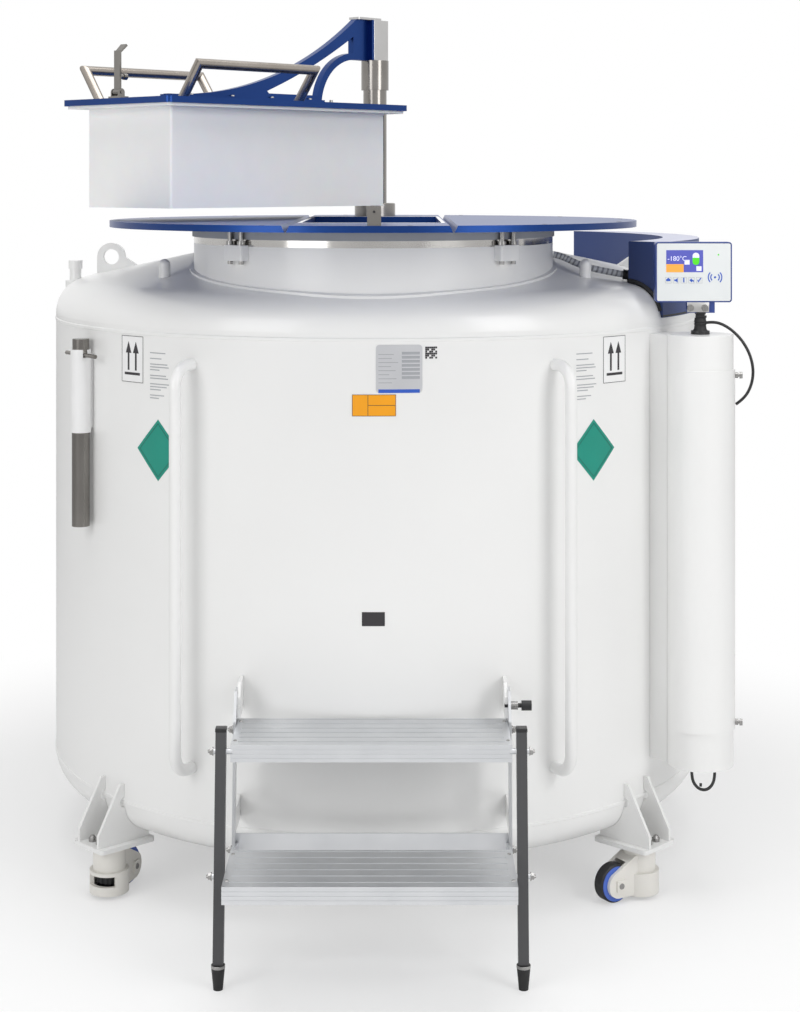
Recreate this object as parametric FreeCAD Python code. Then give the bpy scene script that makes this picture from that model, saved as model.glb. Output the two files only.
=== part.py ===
import FreeCAD, Part
import os
from math import cos, pi, radians, sin, sqrt, tan

# A free-standing storage tank for samples kept in liquid nitrogen.
# Units are millimetres. The origin is on the floor under the tank's axis.
# X points to the tank's right, Y to its back and Z up, so the user stands at -Y.

# Outer and inner vessel
tank_radius = 840.0
outer_wall = 6.0
base_height = 146.0
bottom_rise = 24.0
foot_knuckle = 77.0
shoulder_height = 1339.0
shoulder_knuckle = 88.0
head_slope = 12.1
crown_radius = 330.0
seam_low = 223.0
seam_high = 1324.0
bead_width = 9.0
bead_height = 1.6
vacuum_gap = 50.0
inner_wall = 4.0
inner_base_gap = 90.0
inner_head_gap = 62.0
weld_gap = 0.3

# Neck, which stands towards the front so that its slot runs along a radius of the carousel
neck_x = -5.0
neck_margin = 50.0
neck_radius = 442.0
neck_rise = 187.0
neck_bore = 404.0
neck_wall = 4.0
neck_bead_width = 10.0
neck_bead_height = 5.0
band_height = 16.0
collar_height = 24.0
collar_radius = 446.0
core_depth = 236.0
core_clearance = 0.3

# Deck that lies on the neck
deck_radius = 646.0
deck_thickness = 15.0
deck_strip_width = 360.0
deck_joint = 3.0
clamp_angle = 43.7
clamp_width = 62.0
clamp_depth = 22.0
clamp_height = 36.0
clamp_drop = 37.0
stud_radius = 6.0
stud_spacing = 38.0
nut_radius = 9.5

# Lid: insulating plug, flange, top plate and arm, drawn along the arm from the lift column
plug_width = 314.0
plug_length = 728.0
plug_height = 241.0
plug_corner = 6.0
plug_lift = 31.0
slot_clearance = 3.0
slot_sheet = 1.5
flange_overhang = 38.0
flange_thickness = 7.0
plate_overhang = 45.0
plate_thickness = 15.0
lid_swing = 43.1
column_reach = 127.0
column_x = -8.0

# Lift column
rod_radius = 32.0
rod_clearance = 0.1
rod_engagement = 30.0
sleeve_radius = 37.5
sleeve_height = 80.0
boss_radius = 55.5
boss_height = 35.0
guide_depth = 42.0
head_height = 109.0
head_width = 52.0
head_front = 30.0
head_back = 26.0
head_base = 129.0
cap_thickness = 6.0

# Arm
arm_thickness = 20.0
arm_flange = 8.0
arm_foot_height = 15.0
arm_foot_width = 44.0
arm_foot_start = 190.0
arm_foot_end = 739.0
arm_rib = 36.0
arm_web = 18.0
arm_arch = 128.0

# Handles and latch on the lid
handle_tube = 12.0
handle_far = 818.0
handle_near = 441.0
handle_side = 155.0
handle_lean = 60.0
handle_rise = 77.0
latch_end_inset = 12.0
latch_width = 22.0
latch_thickness = 5.0
latch_length = 100.0
latch_pivot_height = 14.0
latch_pin = 4.0
latch_running_gap = 0.5
post_width = 30.0
post_height = 42.0
post_thickness = 6.0
post_inset = 20.0

# Carousel inside the vessel
carousel_inset = 140.0
carousel_plate_thickness = 6.0
carousel_floor_gap = 46.0
carousel_hub_radius = 45.0
carousel_wall = 3.0
carousel_height = 820.0
carousel_cells = 6
pivot_radius = 25.0
pivot_clearance = 0.1
pivot_rise = 60.0

# Lifting lugs, ports and handrails
lug_inset = 134.0
lug_hole_rise = 136.0
lug_hole_radius = 20.5
lug_outer_radius = 37.0
lug_thickness = 20.0
lug_foot = 72.0
port_inset = 46.0
port_angle = 184.3
port_rise = 129.0
dome_inset = 160.0
dome_angle = 41.5
dome_radius = 14.0
dome_rise = 149.0
rail_tube = 13.5
rail_standoff = 65.0
rail_angle = 60.6
rail_low = 344.5
rail_high = 1259.5
rail_bend = 46.0

# Caster brackets and levelling casters
caster_azimuth = 43.0
caster_overhang = 12.0
bracket_lip = 62.0
bracket_root = 90.0
bracket_width = 120.0
bracket_plate = 10.0
bracket_underside = 119.0
gusset_thickness = 8.0
gusset_spacing = 78.0
gusset_lip = 28.0
gusset_top = 266.0
seam_cutout = 12.0
bolt_radius = 5.0
bolt_square = 74.0
wheel_radius = 44.0
wheel_width = 30.0
wheel_offset = 80.0
axle_radius = 6.0
axle_clearance = 0.1
fork_wall = 9.0
fork_gap = 3.0
housing_radius = 46.0
housing_bore = 36.0
housing_bottom = 9.0
housing_top = 62.0
turntable_radius = 38.0
flange_side = 96.0
flange_plate = 8.0
pad_radius = 30.0
pad_rest = 11.5
pad_thickness = 10.0
screw_radius = 9.0
screw_clearance = 0.1
gear_radius = 30.0
gear_height = 16.0
gear_teeth = 16
window_angle = 96.0
mount_gap = 0.3

# Folding step
tread_half = 297.0
upper_top = 489.0
step_gap = 10.0
upper_depth = 200.0
lower_top = 265.0
lower_setback = 190.0
lower_depth = 210.0
tread_depth = 36.0
tread_end = 5.0
tread_skin = 3.0
nosing_depth = 22.0
tread_slots = 5
rear_pivot_inset = 37.0
rear_pivot_z = 475.0
link_length = 158.0
pivot_drop = 251.0
pivot_lean = 35.0
step_pin = 6.0
pin_clearance = 0.1
loose_pin_clearance = 0.6
pivot_eye = 14.0
rail_bar_in = 298.0
rail_bar = 6.0
rail_bar_width = 30.0
leg_gap = 2.0
leg_tube = 22.0
leg_over = 43.0
foot_height = 52.0
foot_top = 14.0
foot_bottom = 10.0
step_plate = 7.0
step_plate_high = 567.0
step_plate_low = 495.0
step_plate_lip = 20.0
step_plate_root = 140.0
low_plate_high = 300.0
low_plate_low = 250.0
cross_height = 37.0
cross_low = 217.0
cross_plate = 4.0
plunger_z = 522.0
plunger_inset = 16.0
plunger_radius = 5.0
plunger_body = 9.0
plunger_knob = 11.0
plunger_gap = 0.2

# Probe tube on the right-hand side, with its control panel
probe_azimuth = 36.0
probe_standoff = 112.0
probe_radius = 77.5
probe_low = 302.0
probe_high = 1315.0
strip_width = 80.0
cover_gap = 0.3
cover_wall = 3.5
cover_low = 390.0
cover_high = 1234.0
cover_start = -144.0
cover_sweep = 145.0
cover_corner = 24.0
socket_radius = 22.0
socket_height = 8.0
socket_collar = 13.0
socket_rise = 38.0
socket_bore = 5.0
socket_clearance = 0.08
stem_radius = 11.0
arm_block_width = 64.0
panel_offset = -18.0
panel_width = 180.0
panel_height = 142.0
panel_depth = 34.0
panel_glass = 3.0
panel_corner = 7.0
panel_low = 1391.0
panel_hinge_z = 1378.0

# Duct for the filling hose, on the right-hand shoulder
duct_overhang = 5.0
duct_width = 93.0
duct_rise = 191.0
duct_start = -35.0
duct_sweep = 76.0
duct_wall = 3.0
duct_skirt_rise = 9.0
duct_gap = 0.3
hose_radius = 8.0

# Tool in its holder on the left-hand side
tool_azimuth = 216.0
tool_standoff = 28.0
sleeve_tube = 24.5
sleeve_bore = 22.0
sleeve_low = 1077.0
sleeve_high = 1275.0
tool_radius = 21.3
tool_low = 853.0
tool_head = 25.0
tool_head_radius = 20.0
tbar_radius = 5.0
tbar_length = 150.0
tbar_height = 1262.0

# Cables: outside radius, and points chosen by hand along each route
cable_radius = 3.5
panel_cable_points = [
    (784, -560, 1342),
    (802, -560, 1344),
    (824, -561, 1338),
    (848, -563, 1322),
    (871, -565, 1297),
    (888, -567, 1264),
    (895, -567, 1228),
    (890, -565, 1193),
    (874, -562, 1163),
    (854, -560, 1149),
]
loop_cable_points = [
    (742, -612, 301.7),
    (742, -612, 286),
    (747, -614, 269),
    (760, -618, 257),
    (777, -620, 257),
    (790, -618, 269),
    (795, -616, 286),
    (795, -616, 301.7),
]
hose_points = [
    (436.0, -399.7, 1497),
    (452, -401, 1494),
    (472, -402, 1485),
    (500, -404, 1472),
    (534, -405, 1462),
    (570, -404, 1455),
    (602, -404, 1449),
    (627.3, -406.5, 1446),
]

# Values worked out from the sizes above
neck_y = neck_radius + neck_margin - tank_radius
neck_top = shoulder_height + neck_rise
carousel_radius = tank_radius - carousel_inset
lug_reach = tank_radius - lug_inset
lug_hole_height = shoulder_height + lug_hole_rise
port_radius = tank_radius - port_inset
port_top = shoulder_height + port_rise
dome_reach = tank_radius - dome_inset
dome_top = shoulder_height + dome_rise
rail_reach = tank_radius + rail_standoff
caster_reach = tank_radius + caster_overhang
bracket_outer = caster_reach + bracket_lip
bracket_inner = caster_reach - bracket_root
upper_back = tank_radius + step_gap
upper_front = upper_back + upper_depth
lower_back = upper_back + lower_setback
lower_front = lower_back + lower_depth
rear_pivot_y = upper_back + rear_pivot_inset
step_plate_reach = upper_back + step_plate_lip
step_plate_start = tank_radius - step_plate_root
plunger_y = upper_back + plunger_inset
probe_reach = tank_radius + probe_standoff
duct_outer = tank_radius + duct_overhang
duct_inner = duct_outer - duct_width
duct_top = shoulder_height + duct_rise
duct_skirt = shoulder_height + duct_skirt_rise
tool_reach = tank_radius + tool_standoff
neck = FreeCAD.Vector(neck_x, neck_y, 0)
deck_low = neck_top + band_height + collar_height
deck_top = deck_low + deck_thickness
cone_reach = tank_radius - shoulder_knuckle + shoulder_knuckle * sin(radians(head_slope))
cone_height = shoulder_height + shoulder_knuckle * cos(radians(head_slope))
crown_height = cone_height + (cone_reach - crown_radius) * tan(radians(head_slope))
column_y = neck_y + plug_length / 2 + column_reach
column = FreeCAD.Vector(column_x, column_y, 0)
plug_low = deck_top + plug_lift
plug_high = plug_low + plug_height
plate_low = plug_high + flange_thickness
plate_high = plate_low + plate_thickness
head_low = plate_high + head_base
head_high = head_low + head_height
lid_length = column_reach + plug_length
leg_in = rail_bar_in + rail_bar + leg_gap
leg_middle = leg_in + leg_tube / 2
front_pivot_y = rear_pivot_y + link_length
up = FreeCAD.Vector(0, 0, 1)
origin = FreeCAD.Vector(0, 0, 0)

PIECES = {}


def vec(x, y, z=0.0):
    return FreeCAD.Vector(x, y, z)


def polar(radius, angle, height=0.0):
    """A point at a radius and an angle in degrees round the tank's axis."""
    return vec(radius * cos(radians(angle)), radius * sin(radians(angle)), height)


def keep(name, *solids):
    """Store one node: a single solid, or a group of separate ones."""
    whole = solids[0] if len(solids) == 1 else Part.makeCompound(list(solids))
    PIECES[name] = whole


def block(x0, x1, y0, y1, z0, z1):
    return Part.makeBox(x1 - x0, y1 - y0, z1 - z0, vec(x0, y0, z0))


def rod(base, radius, length, direction=up):
    return Part.makeCylinder(radius, length, base, direction)


def ring(base, outside, inside, length, direction=up):
    return rod(base, outside, length, direction).cut(rod(base, inside, length, direction))


def prism(points, direction):
    """Extrude a flat polygon along a vector."""
    outline = Part.makePolygon(points + [points[0]])
    return Part.Face(outline).extrude(direction)


def line(a, b):
    return Part.LineSegment(a, b).toShape()


def arc(a, b, c):
    return Part.Arc(a, b, c).toShape()


def turn(shape, angle, centre=origin, axis=up):
    copy = shape.copy()
    copy.rotate(centre, axis, angle)
    return copy


def shift(shape, x=0.0, y=0.0, z=0.0):
    copy = shape.copy()
    copy.translate(vec(x, y, z))
    return copy


def mirror_x(shape):
    return shape.mirror(origin, vec(1, 0, 0))


def rounded_vertical(shape, radius):
    """Round the vertical edges of a box."""
    edges = []
    for edge in shape.Edges:
        first, last = edge.Vertexes[0].Point, edge.Vertexes[-1].Point
        if abs(first.x - last.x) < 1e-6 and abs(first.y - last.y) < 1e-6:
            edges.append(edge)
    return shape.makeFillet(radius, edges)


def fused(solids):
    """Join overlapping solids into one and drop the seams between them."""
    whole = solids[0]
    for solid in solids[1:]:
        whole = whole.fuse(solid)
    return whole.removeSplitter()


def tube_path(points, share=0.45):
    """Straight runs joined by tangent arcs, each as large as its two runs allow."""
    route = [vec(*point) for point in points]
    edges = []
    start = route[0]
    radii = []
    for before, corner, after in zip(route, route[1:], route[2:]):
        run_in = corner - before
        run_out = after - corner
        half_turn = run_in.getAngle(run_out) / 2
        setback = share * min(run_in.Length, run_out.Length)
        radii.append(setback / tan(half_turn))
        into = run_in.normalize()
        away = run_out.normalize()
        first = corner - into * setback
        last = corner + away * setback
        bisector = (away - into).normalize()
        radius = radii[-1]
        centre = corner + bisector * (radius / cos(half_turn))
        middle = centre - bisector * radius
        edges.append(line(start, first))
        edges.append(arc(first, middle, last))
        start = last
    edges.append(line(start, route[-1]))
    return Part.Wire(edges), radii


def tube_along(points, radius, share=0.45):
    path, radii = tube_path(points, share)
    along = vec(*points[1]) - vec(*points[0])
    circle = Part.Wire([Part.makeCircle(radius, vec(*points[0]), along)])
    return path.makePipeShell([circle], True, True), path, radii


def vessel_solid(radius, base, shoulder, low_knuckle, high_knuckle):
    """A straight wall with rounded edges, a shallow bottom and a conical head."""
    slope = radians(head_slope)
    half = radians(90 - head_slope) / 2
    low_x = radius - low_knuckle
    low_z = base + low_knuckle
    high_x = radius - high_knuckle
    cone_x = high_x + high_knuckle * sin(slope)
    cone_z = shoulder + high_knuckle * cos(slope)
    crown_z = cone_z + (cone_x - crown_radius) * tan(slope)
    low_mid = vec(low_x + low_knuckle * sin(radians(45)), 0, low_z - low_knuckle * cos(radians(45)))
    high_mid = vec(high_x + high_knuckle * cos(half), 0, shoulder + high_knuckle * sin(half))
    edges = [
        line(vec(0, 0, base + bottom_rise), vec(low_x, 0, base)),
        arc(vec(low_x, 0, base), low_mid, vec(radius, 0, low_z)),
        line(vec(radius, 0, low_z), vec(radius, 0, shoulder)),
        arc(vec(radius, 0, shoulder), high_mid, vec(cone_x, 0, cone_z)),
        line(vec(cone_x, 0, cone_z), vec(crown_radius, 0, crown_z)),
        line(vec(crown_radius, 0, crown_z), vec(0, 0, crown_z)),
        line(vec(0, 0, crown_z), vec(0, 0, base + bottom_rise)),
    ]
    return Part.Face(Part.Wire(edges)).revolve(origin, up, 360)


def tank_form(growth=0.0):
    """The outside of the tank, grown or shrunk by a distance."""
    return vessel_solid(
        tank_radius + growth,
        base_height - growth,
        shoulder_height,
        foot_knuckle + growth,
        shoulder_knuckle + growth,
    )


def weld_bead(height):
    """A low ring with sloping sides that stands on the wall at a weld seam."""
    half = bead_width / 2
    crest = half - bead_height
    outline = Part.makePolygon([
        vec(tank_radius - 1, 0, height - half),
        vec(tank_radius, 0, height - half),
        vec(tank_radius + bead_height, 0, height - crest),
        vec(tank_radius + bead_height, 0, height + crest),
        vec(tank_radius, 0, height + half),
        vec(tank_radius - 1, 0, height + half),
        vec(tank_radius - 1, 0, height - half),
    ])
    return Part.Face(outline).revolve(origin, up, 360)


def outer_vessel():
    """Painted outer shell with its neck, cut hollow from one turned form."""
    neck_base = shoulder_height
    neck_solid = rod(neck + up * neck_base, neck_radius, neck_top - neck_base)
    whole = tank_form().fuse(neck_solid)
    whole = whole.fuse(weld_bead(seam_low)).fuse(weld_bead(seam_high))
    foot_ring = rod(neck + up * neck_base, neck_radius + neck_bead_width, neck_top - neck_base)
    whole = whole.fuse(foot_ring.common(tank_form(neck_bead_height)))
    whole = whole.cut(tank_form(-outer_wall))
    bore = neck_radius - outer_wall
    whole = whole.cut(rod(neck + up * (neck_base - 60), bore, neck_top - neck_base + 60))
    keep("outer_vessel", whole)


def inner_vessel():
    """Cold inner shell with its neck tube and the carousel's pivot post."""
    radius = tank_radius - outer_wall - vacuum_gap
    base = base_height + outer_wall + inner_base_gap
    shoulder = shoulder_height - inner_head_gap
    knuckle = shoulder_knuckle - 8
    outside = vessel_solid(radius, base, shoulder, foot_knuckle, knuckle)
    inside = vessel_solid(
        radius - inner_wall,
        base + inner_wall,
        shoulder,
        foot_knuckle - inner_wall,
        knuckle - inner_wall,
    )
    throat = rod(neck + up * shoulder, neck_bore + neck_wall, neck_top - shoulder)
    shell = outside.fuse(throat).cut(inside)
    shell = shell.cut(rod(neck + up * (shoulder - 20), neck_bore, neck_top - shoulder + 20))
    floor = base + bottom_rise
    post = rod(vec(0, 0, floor), pivot_radius, carousel_floor_gap + pivot_rise + inner_wall)
    shoulder_ring = rod(vec(0, 0, floor), carousel_hub_radius, carousel_floor_gap + inner_wall - 0.3)
    keep("inner_vessel", fused([shell, post, shoulder_ring]))
    return floor + inner_wall + carousel_floor_gap


def neck_parts():
    band = ring(neck + up * neck_top, neck_radius, neck_bore, band_height)
    keep("neck_band", band)
    collar = ring(neck + up * (neck_top + band_height), collar_radius, neck_bore, collar_height)
    keep("deck_collar", collar)
    half_x = plug_width / 2 + slot_clearance
    half_y = plug_length / 2 + slot_clearance
    low = deck_top - core_depth
    core = rod(neck + up * low, neck_bore - core_clearance, deck_low - low)
    outer_x = half_x + slot_sheet
    outer_y = half_y + slot_sheet
    pocket = block(
        neck_x - outer_x - 0.3, neck_x + outer_x + 0.3,
        neck_y - outer_y - 0.3, neck_y + outer_y + 0.3,
        low - 1, deck_low + 1,
    )
    keep("neck_insulation", core.cut(pocket))
    sheet = block(
        neck_x - outer_x, neck_x + outer_x,
        neck_y - outer_y, neck_y + outer_y,
        low, deck_low,
    )
    hollow = block(
        neck_x - half_x, neck_x + half_x,
        neck_y - half_y, neck_y + half_y,
        low - 1, deck_low + 1,
    )
    keep("slot_liner", sheet.cut(hollow))


def deck_parts():
    """A round deck in three pieces with bevelled joints, and the slot in the middle one."""
    disc = rod(neck + up * deck_low, deck_radius, deck_thickness)
    half = deck_strip_width / 2
    reach = deck_radius + 10
    strip_points = [
        vec(neck_x - half, neck_y - reach, deck_low),
        vec(neck_x + half, neck_y - reach, deck_low),
        vec(neck_x + half - deck_thickness / 2, neck_y - reach, deck_top),
        vec(neck_x - half + deck_thickness / 2, neck_y - reach, deck_top),
    ]
    strip = prism(strip_points, vec(0, 2 * reach, 0))
    half_x = plug_width / 2 + slot_clearance
    half_y = plug_length / 2 + slot_clearance
    slot = block(
        neck_x - half_x, neck_x + half_x,
        neck_y - half_y, neck_y + half_y,
        deck_low - 1, deck_top + 1,
    )
    column_hole = rod(column + up * (deck_low - 1), rod_radius + 4, deck_thickness + 2)
    keep("deck_centre", disc.common(strip).cut(slot).cut(column_hole))
    side_points = [
        vec(neck_x + half + deck_joint, neck_y - reach, deck_low),
        vec(neck_x + reach, neck_y - reach, deck_low),
        vec(neck_x + reach, neck_y - reach, deck_top),
        vec(neck_x + half + deck_joint + deck_thickness / 2, neck_y - reach, deck_top),
    ]
    right = disc.common(prism(side_points, vec(0, 2 * reach, 0)))
    keep("deck_right", right)
    left = right.mirror(neck, vec(1, 0, 0))
    keep("deck_left", left)


def deck_clamps():
    """Two lugs on the neck in front, and studs all round that reach up to the deck."""
    clamps = []
    studs = []
    top = deck_low - clamp_drop
    middle = neck_radius + clamp_depth / 2
    for side in (-1, 1):
        front = -90 + side * clamp_angle
        rear = 90 + side * clamp_angle
        inner = sqrt(neck_radius ** 2 - (clamp_width / 2) ** 2) - 6
        lug = block(
            inner, neck_radius + clamp_depth,
            -clamp_width / 2, clamp_width / 2,
            top - clamp_height, top,
        )
        lug = rounded_vertical(lug, 4)
        lug = lug.cut(rod(vec(0, 0, top - clamp_height - 1), neck_radius + weld_gap, clamp_height + 2))
        for offset in (-stud_spacing / 2, stud_spacing / 2):
            place = vec(middle, offset, top - clamp_height - 8)
            lug = lug.cut(rod(place, stud_radius + 0.3, clamp_height + 20))
            stud = rod(place, stud_radius, deck_low - place.z - 0.3)
            nut = rod(vec(middle, offset, top + 0.3), nut_radius, 9)
            stud = stud.fuse(nut).removeSplitter()
            studs.append(shift(turn(stud, front), neck_x, neck_y))
            seat = vec(middle, offset, crown_height + neck_bead_height + 0.3)
            post = rod(seat, stud_radius, deck_low - 0.3 - seat.z)
            collar = rod(seat, nut_radius, 9)
            post = post.fuse(collar).removeSplitter()
            studs.append(shift(turn(post, rear), neck_x, neck_y))
        clamps.append(shift(turn(lug, front), neck_x, neck_y))
    keep("deck_clamps", *clamps)
    return studs


def lift_guide():
    """Boss on the deck with the guide tube that goes down through it."""
    bore = rod_radius + rod_clearance
    boss = ring(column + up * deck_top, boss_radius, bore, boss_height)
    bottom = deck_top - guide_depth - deck_thickness + 5
    tube = ring(column + up * bottom, rod_radius + 3.7, bore, deck_top - bottom)
    boss = boss.fuse(tube).removeSplitter()
    rim = [edge for edge in boss.Edges if abs(edge.BoundBox.ZMin - deck_top - boss_height) < 0.01]
    keep("lift_guide", boss.makeChamfer(2, [edge for edge in rim if edge.Length > 300]))


def lid_frame(shape):
    """Put a shape drawn along +X from the column's axis into the lid's swung place."""
    placed = turn(shape, -90 - lid_swing)
    return shift(placed, column.x, column.y)


def lift_column():
    low = deck_top - rod_engagement
    shaft = rod(vec(0, 0, low), rod_radius, head_low - low)
    sleeve = rod(vec(0, 0, head_low - sleeve_height), sleeve_radius, sleeve_height)
    sleeve = sleeve.fuse(shaft).removeSplitter()
    keep("lift_rod", shift(sleeve, column.x, column.y))
    head = block(-head_back, head_front, -head_width / 2, head_width / 2, head_low + 0.3, head_high)
    cap = block(-6, head_front + 52, -arm_thickness, arm_thickness, head_high, head_high + cap_thickness)
    head = rounded_vertical(head, 2).fuse(rounded_vertical(cap, 3))
    keep("lift_head", lid_frame(head))


def lid_arm():
    """Blue arm plate with a swept back, a round arch below and a window between."""
    x0 = head_front + arm_flange
    foot = plate_high + arm_foot_height
    arch_x = arm_foot_start + 24 - arm_arch
    arch_z = plate_high
    diagonal = arm_arch * sin(radians(45))
    outline = Part.Wire([
        line(vec(x0, 0, head_high), vec(x0 + 44, 0, head_high)),
        arc(vec(x0 + 44, 0, head_high), vec(313, 0, foot + 86), vec(arm_foot_end, 0, foot + 1)),
        line(vec(arm_foot_end, 0, foot + 1), vec(arm_foot_end, 0, plate_high)),
        line(vec(arm_foot_end, 0, plate_high), vec(arch_x + arm_arch, 0, arch_z)),
        arc(
            vec(arch_x + arm_arch, 0, arch_z),
            vec(arch_x + diagonal, 0, arch_z + diagonal),
            vec(arch_x, 0, arch_z + arm_arch),
        ),
        line(vec(arch_x, 0, arch_z + arm_arch), vec(x0, 0, arch_z + arm_arch)),
        line(vec(x0, 0, arch_z + arm_arch), vec(x0, 0, head_high)),
    ])
    web = arm_arch + arm_web
    web_end = sqrt(web ** 2 - (arm_foot_height + 12) ** 2)
    window_top = head_high - arm_rib - 12
    window = Part.Wire([
        arc(
            vec(arch_x + web_end, 0, foot + 12),
            vec(arch_x + web * sin(radians(42)), 0, arch_z + web * cos(radians(42))),
            vec(arch_x + 8, 0, arch_z + sqrt(web ** 2 - 8 ** 2)),
        ),
        line(vec(arch_x + 8, 0, arch_z + sqrt(web ** 2 - 8 ** 2)), vec(arch_x + 8, 0, window_top)),
        arc(vec(arch_x + 8, 0, window_top), vec(262, 0, foot + 82), vec(410, 0, foot + 18)),
        line(vec(410, 0, foot + 18), vec(404, 0, foot + 12)),
        line(vec(404, 0, foot + 12), vec(arch_x + web_end, 0, foot + 12)),
    ])
    web_plate = Part.Face(outline).cut(Part.Face(window)).extrude(vec(0, arm_thickness, 0))
    web_plate = shift(web_plate, 0, -arm_thickness / 2, 0)
    flange = block(
        head_front + 0.2, x0,
        -head_width / 2, head_width / 2,
        head_low + 0.3, head_high,
    )
    foot_bar = block(
        arm_foot_start + 24, arm_foot_end,
        -arm_foot_width / 2, arm_foot_width / 2,
        plate_high, foot,
    )
    keep("lid_arm", lid_frame(fused([web_plate, flange, foot_bar])))


def lid_parts():
    x0 = column_reach
    x1 = lid_length
    half = plug_width / 2
    plug = rounded_vertical(block(x0, x1, -half, half, plug_low, plug_high), plug_corner)
    rim = flange_overhang
    flange = block(x0 - rim, x1 + rim, -half - rim, half + rim, plug_high, plate_low)
    plug = plug.fuse(rounded_vertical(flange, plug_corner + 4))
    keep("lid_plug", lid_frame(plug.removeSplitter()))
    over = plate_overhang
    plate = block(x0 - over, x1 + over, -half - over, half + over, plate_low, plate_high)
    keep("lid_plate", lid_frame(rounded_vertical(plate, plug_corner + 6)))


def lid_handles():
    """Two tubular handles with square corners that lean away from the arm."""
    handles = []
    for side in (-1, 1):
        base = plate_high
        high = plate_high + handle_rise
        lean = side * (handle_side + handle_lean)
        points = [
            vec(handle_near, side * handle_side, base - 4),
            vec(handle_near, lean, high),
            vec(handle_far, lean, high),
            vec(handle_far, side * handle_side, base - 4),
        ]
        path = Part.makePolygon(points)
        circle = Part.Wire([Part.makeCircle(handle_tube, points[0], points[1] - points[0])])
        grip = path.makePipeShell([circle], True, False, 1)
        below = block(0, 2 * lid_length, -lid_length, lid_length, base - 60, base)
        handles.append(lid_frame(grip.cut(below)))
    keep("lid_handles", *handles)


def latch():
    """Hinged strap at the lid's outer end, between the ears of a small bracket."""
    end = lid_length + plate_overhang - latch_end_inset
    pivot_z = plate_high + latch_pivot_height
    ear_in = latch_width / 2 + latch_running_gap
    foot = block(end - 14, end + 10, -ear_in - 12, ear_in + 12, plate_high, plate_high + 4)
    ears = []
    for side in (-1, 1):
        y0 = min(side * ear_in, side * (ear_in + 4))
        ear = block(end - 9, end + 9, y0, y0 + 4, plate_high, pivot_z)
        round_top = rod(vec(end, y0, pivot_z), 9, 4, vec(0, 1, 0))
        ears.append(ear.fuse(round_top))
    pin = rod(vec(end, -ear_in - 6, pivot_z), latch_pin, 2 * ear_in + 12, vec(0, 1, 0))
    keep("latch_bracket", lid_frame(fused([foot] + ears + [pin])))
    half = latch_thickness / 2
    top = pivot_z + latch_length
    strap = block(end - half, end + half, -latch_width / 2, latch_width / 2, pivot_z, top)
    eye = rod(vec(end, -latch_width / 2, pivot_z), 8, latch_width, vec(0, 1, 0))
    hook_points = [
        vec(end - half, 0, top - latch_thickness),
        vec(end + half, 0, top - latch_thickness),
        vec(end - 18, 0, top + 16),
        vec(end - 22, 0, top + 12),
    ]
    hook = shift(prism(hook_points, vec(0, latch_width, 0)), 0, -latch_width / 2, 0)
    hole = rod(vec(end, -latch_width, pivot_z), latch_pin + pin_clearance, 2 * latch_width, vec(0, 1, 0))
    knob = rod(vec(end - 26, 0, top - 62), 6, 26, vec(1, 0, 0))
    knob = knob.fuse(rod(vec(end - 26, 0, top - 62), 8, 10, vec(1, 0, 0)))
    keep("latch_lever", lid_frame(fused([strap, eye, hook, knob]).cut(hole)))
    y = neck_y - deck_radius + post_inset
    half_post = post_width / 2
    upright = block(5 - half_post, 5 + half_post, y, y + post_thickness, deck_top, deck_top + post_height)
    foot = block(5 - half_post, 5 + half_post, y, y + 34, deck_top, deck_top + post_thickness)
    screw = rod(vec(5, y - 5, deck_top + post_height - 12), 6, 5, vec(0, 1, 0))
    keep("latch_post", fused([upright, foot, screw]))


def carousel(seat):
    """Turning base plate on a hub, with radial walls that divide it into cells."""
    top = seat + carousel_plate_thickness
    plate = rod(vec(0, 0, seat), carousel_radius, carousel_plate_thickness)
    hub = rod(vec(0, 0, seat), carousel_hub_radius, carousel_height)
    bore = rod(vec(0, 0, seat - 1), pivot_radius + pivot_clearance, pivot_rise + 2)
    keep("carousel_plate", fused([plate, hub]).cut(bore))
    wall = block(
        carousel_hub_radius + 0.3, carousel_radius - 4,
        -carousel_wall / 2, carousel_wall / 2,
        top, top + carousel_height - 60,
    )
    step = 360.0 / carousel_cells
    walls = [turn(wall, step * index + step / 2) for index in range(carousel_cells)]
    keep("carousel_walls", *walls)


def lifting_lugs():
    foot_out = lug_reach + lug_outer_radius
    foot_in = lug_reach - lug_foot
    middle = vec(lug_reach, 0, lug_hole_height)
    bottom = lug_hole_height - 70
    lug = prism(
        [
            vec(foot_out, 0, bottom),
            vec(foot_in, 0, bottom),
            vec(foot_in, 0, lug_hole_height - 24),
            vec(lug_reach - lug_outer_radius, 0, lug_hole_height),
            vec(lug_reach + lug_outer_radius, 0, lug_hole_height),
            vec(foot_out, 0, lug_hole_height - 40),
        ],
        vec(0, lug_thickness, 0),
    )
    lug = lug.fuse(rod(middle, lug_outer_radius, lug_thickness, vec(0, 1, 0)))
    lug = lug.cut(rod(middle, lug_hole_radius, lug_thickness, vec(0, 1, 0)))
    lug = shift(lug, 0, -lug_thickness / 2, 0)
    lug = lug.cut(tank_form(weld_gap)).removeSplitter()
    keep("lifting_lugs", lug, mirror_x(lug))


def ports():
    """Evacuation port on the left knuckle and two domed safety caps on the head."""
    place = polar(port_radius, port_angle, 0)
    stages = [(26, 88, 52), (15, 58, 20), (18, 22, 0)]
    stub = [rod(place + up * (port_top - low), radius, low - high) for radius, low, high in stages]
    port = fused(stub).cut(tank_form(weld_gap))
    domes = []
    for side in (-1, 1):
        spot = polar(dome_reach, -90 + side * (90 - dome_angle), 0)
        slope_low = shoulder_height + 60
        high = dome_top - dome_radius
        barrel = rod(spot + up * slope_low, dome_radius, high - slope_low)
        dome = Part.makeSphere(dome_radius, spot + up * high)
        domes.append(fused([barrel, dome]).cut(tank_form(weld_gap)))
    keep("vacuum_ports", port, *domes)


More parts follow.
